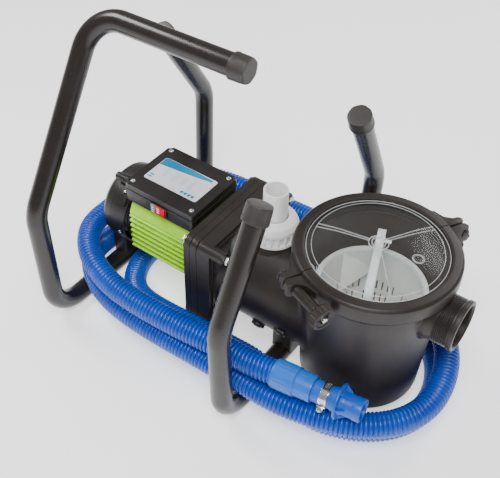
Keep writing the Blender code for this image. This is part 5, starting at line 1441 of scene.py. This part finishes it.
def make_label():
    """Rating plate with generic shapes only: a wedge, two bars and rows of short dashes."""
    top = BOX_LID_TOP + 0.0004
    shape = bmesh.new()
    slab(shape, rectangle(0.0520, 0.0295, 0.0040), 0.0008, shift(PLATE_MIDDLE_X, -0.0005, top - 0.0002),
        0.0003)
    piece("plate", shape, "label_film", "base", "label_plate")

    def flat(outlines, name, finish):
        made = bmesh.new()
        for outline in outlines:
            slab(made, outline, 0.00025, shift(0, 0, top + 0.0005))
        piece(name, made, finish, "base")

    wedge = soften([(-0.2285, 0.0284, 0.004), (-0.2285, 0.0096), (-0.1960, 0.0130, 0.03),
        (-0.1560, 0.0180, 0.03), (-0.1330, 0.0225), (-0.1330, 0.0262), (-0.1700, 0.0284)], 5)
    bars = [[(x, y), (x + 0.0075, y), (x + 0.0075, y + 0.0028), (x, y + 0.0028)] for x,
        y in ((-0.2255, -0.0180), (-0.2255, -0.0240))]
    flat([wedge] + bars, "plate_wedge", "label_cyan")
    rows = []
    for row, y in enumerate((0.0060, 0.0025, -0.0010, -0.0045, -0.0080, -0.0115)):
        for column in range(4):
            x = -0.2080 + 0.0170 * column
            length = 0.0060 + 0.0045 * ((row * 3 + column * 5) % 3) / 2
            rows.append([(x, y), (x + length, y), (x + length, y + 0.0009), (x, y + 0.0009)])
    flat(rows, "plate_rows", "label_grey")
    dashes = [[(-0.1600 + 0.0070 * k, -0.0260), (-0.1550 + 0.0070 * k, -0.0260),
        (-0.1542 + 0.0070 * k, -0.0205), (-0.1592 + 0.0070 * k, -0.0205)] for k in range(4)]
    flat(dashes, "plate_dashes", "label_cyan")


def make_switch():
    """Rocker in a thin dark bezel: grey end and glossy red end, each with plain dashes."""
    x, y, z = SWITCH
    face = Matrix(((1, 0, 0, x), (0, 0, -1, y), (0, 1, 0, z), (0, 0, 0, 1)))  # outline x, z; depth -Y
    shape = bmesh.new()
    slab(shape, rectangle(0.0161, 0.0095, 0.0016), 0.0024, face @ shift(0, 0, 0.0002), 0.0006)
    slab(shape, rectangle(0.0155, 0.0092, 0.0010), 0.0140, face @ shift(0, 0, -0.0138), 0.0004)
    bezel = piece("rocker_bezel", shape, "box_plastic", "base", "switch_bezel")
    cutters = bmesh.new()
    slab(cutters, rectangle(0.0148, 0.0086, 0.0006), 0.03, face @ shift(0, 0, -0.0105))
    carve(bezel, cutters, overlap=True)
    lying = shift(x, y, z - 0.0081)
    shape = bmesh.new()
    slab(shape, soften([(-0.0048, 0.0048), (-0.0048, -0.0048), (0.0010, -0.0036, 0.0030),
        (0.0130, -0.0052, 0.0012), (0.0130, 0.0048)], 5), 0.0162, lying, 0.0008, 3)
    piece("rocker", shape, "switch_red", "rocker", "switch_rocker")
    shape = bmesh.new()
    slab(shape, soften([(-0.0130, 0.0048), (-0.0130, -0.0060, 0.0012), (-0.0052, -0.0048, 0.0004),
        (-0.0052, 0.0048)], 5), 0.0162, lying, 0.0008, 3)
    piece("rocker_end", shape, "switch_grey", "rocker")
    shape = bmesh.new()
    for offset in (-0.0040, 0.0, 0.0040):
        brick(shape, (x - 0.0108, y - 0.0060, z + offset - 0.0006),
            (x - 0.0072, y - 0.0046, z + offset + 0.0006), None, 0.0002, 1)
        brick(shape, (x - 0.0022, y - 0.0047, z + offset - 0.0006),
            (x + 0.0032, y - 0.0030, z + offset + 0.0006), None, 0.0002, 1)
    piece("rocker_marks", shape, "white_plastic", "rocker")


def make_gland():
    """Ribbed gland nut with a long tapered, notched boot."""
    place = along((1, 0, 0), (0, -0.0300, 0.1960))
    start = BOX_X[0]
    outline = [(0.0045, -0.2440), (0.0062, -0.2440), (0.0062, start), (0.0103, start - 0.0004, 0.0006),
        (0.0103, start - 0.0058, 0.0008), (0.0092, start - 0.0068, 0.0005)]
    for k in range(7):
        x = start - 0.0080 - 0.0036 * k
        radius = 0.0091 - 0.00034 * k
        outline += [(radius, x, 0.0004), (radius, x - 0.0020, 0.0004), (radius - 0.0010, x - 0.0023),
            (radius - 0.0010, x - 0.0034)]
    outline += [(0.0067, -0.2800, 0.0005), (0.0064, -0.2860, 0.0008), (0.0045, -0.2860, 0.0003)]

    def flats(angle, radius, height):
        return radius * (1 - 0.045 * (0.5 - 0.5 * math.cos(6 * angle))) if radius > 0.0098 else radius

    shape = bmesh.new()
    lathe(shape, outline, place, 72, ring=True, ripple=flats, steps=3)
    piece("gland", shape, "cover_plastic", "base", "cable_gland")


def dress_hidden_nodes():
    """Give the CAD nodes that stay the finish of their own slot."""
    slots = {item["node"]: item["material_slot"] for item in frame["record"]["subparts"]}
    for name, item in NODES.items():
        item.data.materials.clear()
        item.data.materials.append(FINISH[slots[name]])


make_camera()
make_studio()
make_hose()
make_frame()
make_saddles()
make_motor()
make_bracket()
make_volute()
make_discharge()
make_pot()
make_basket()
make_lid()
make_clamp()
make_knob()
make_hinge_bolt()
make_terminal_box()
dress_hidden_nodes()
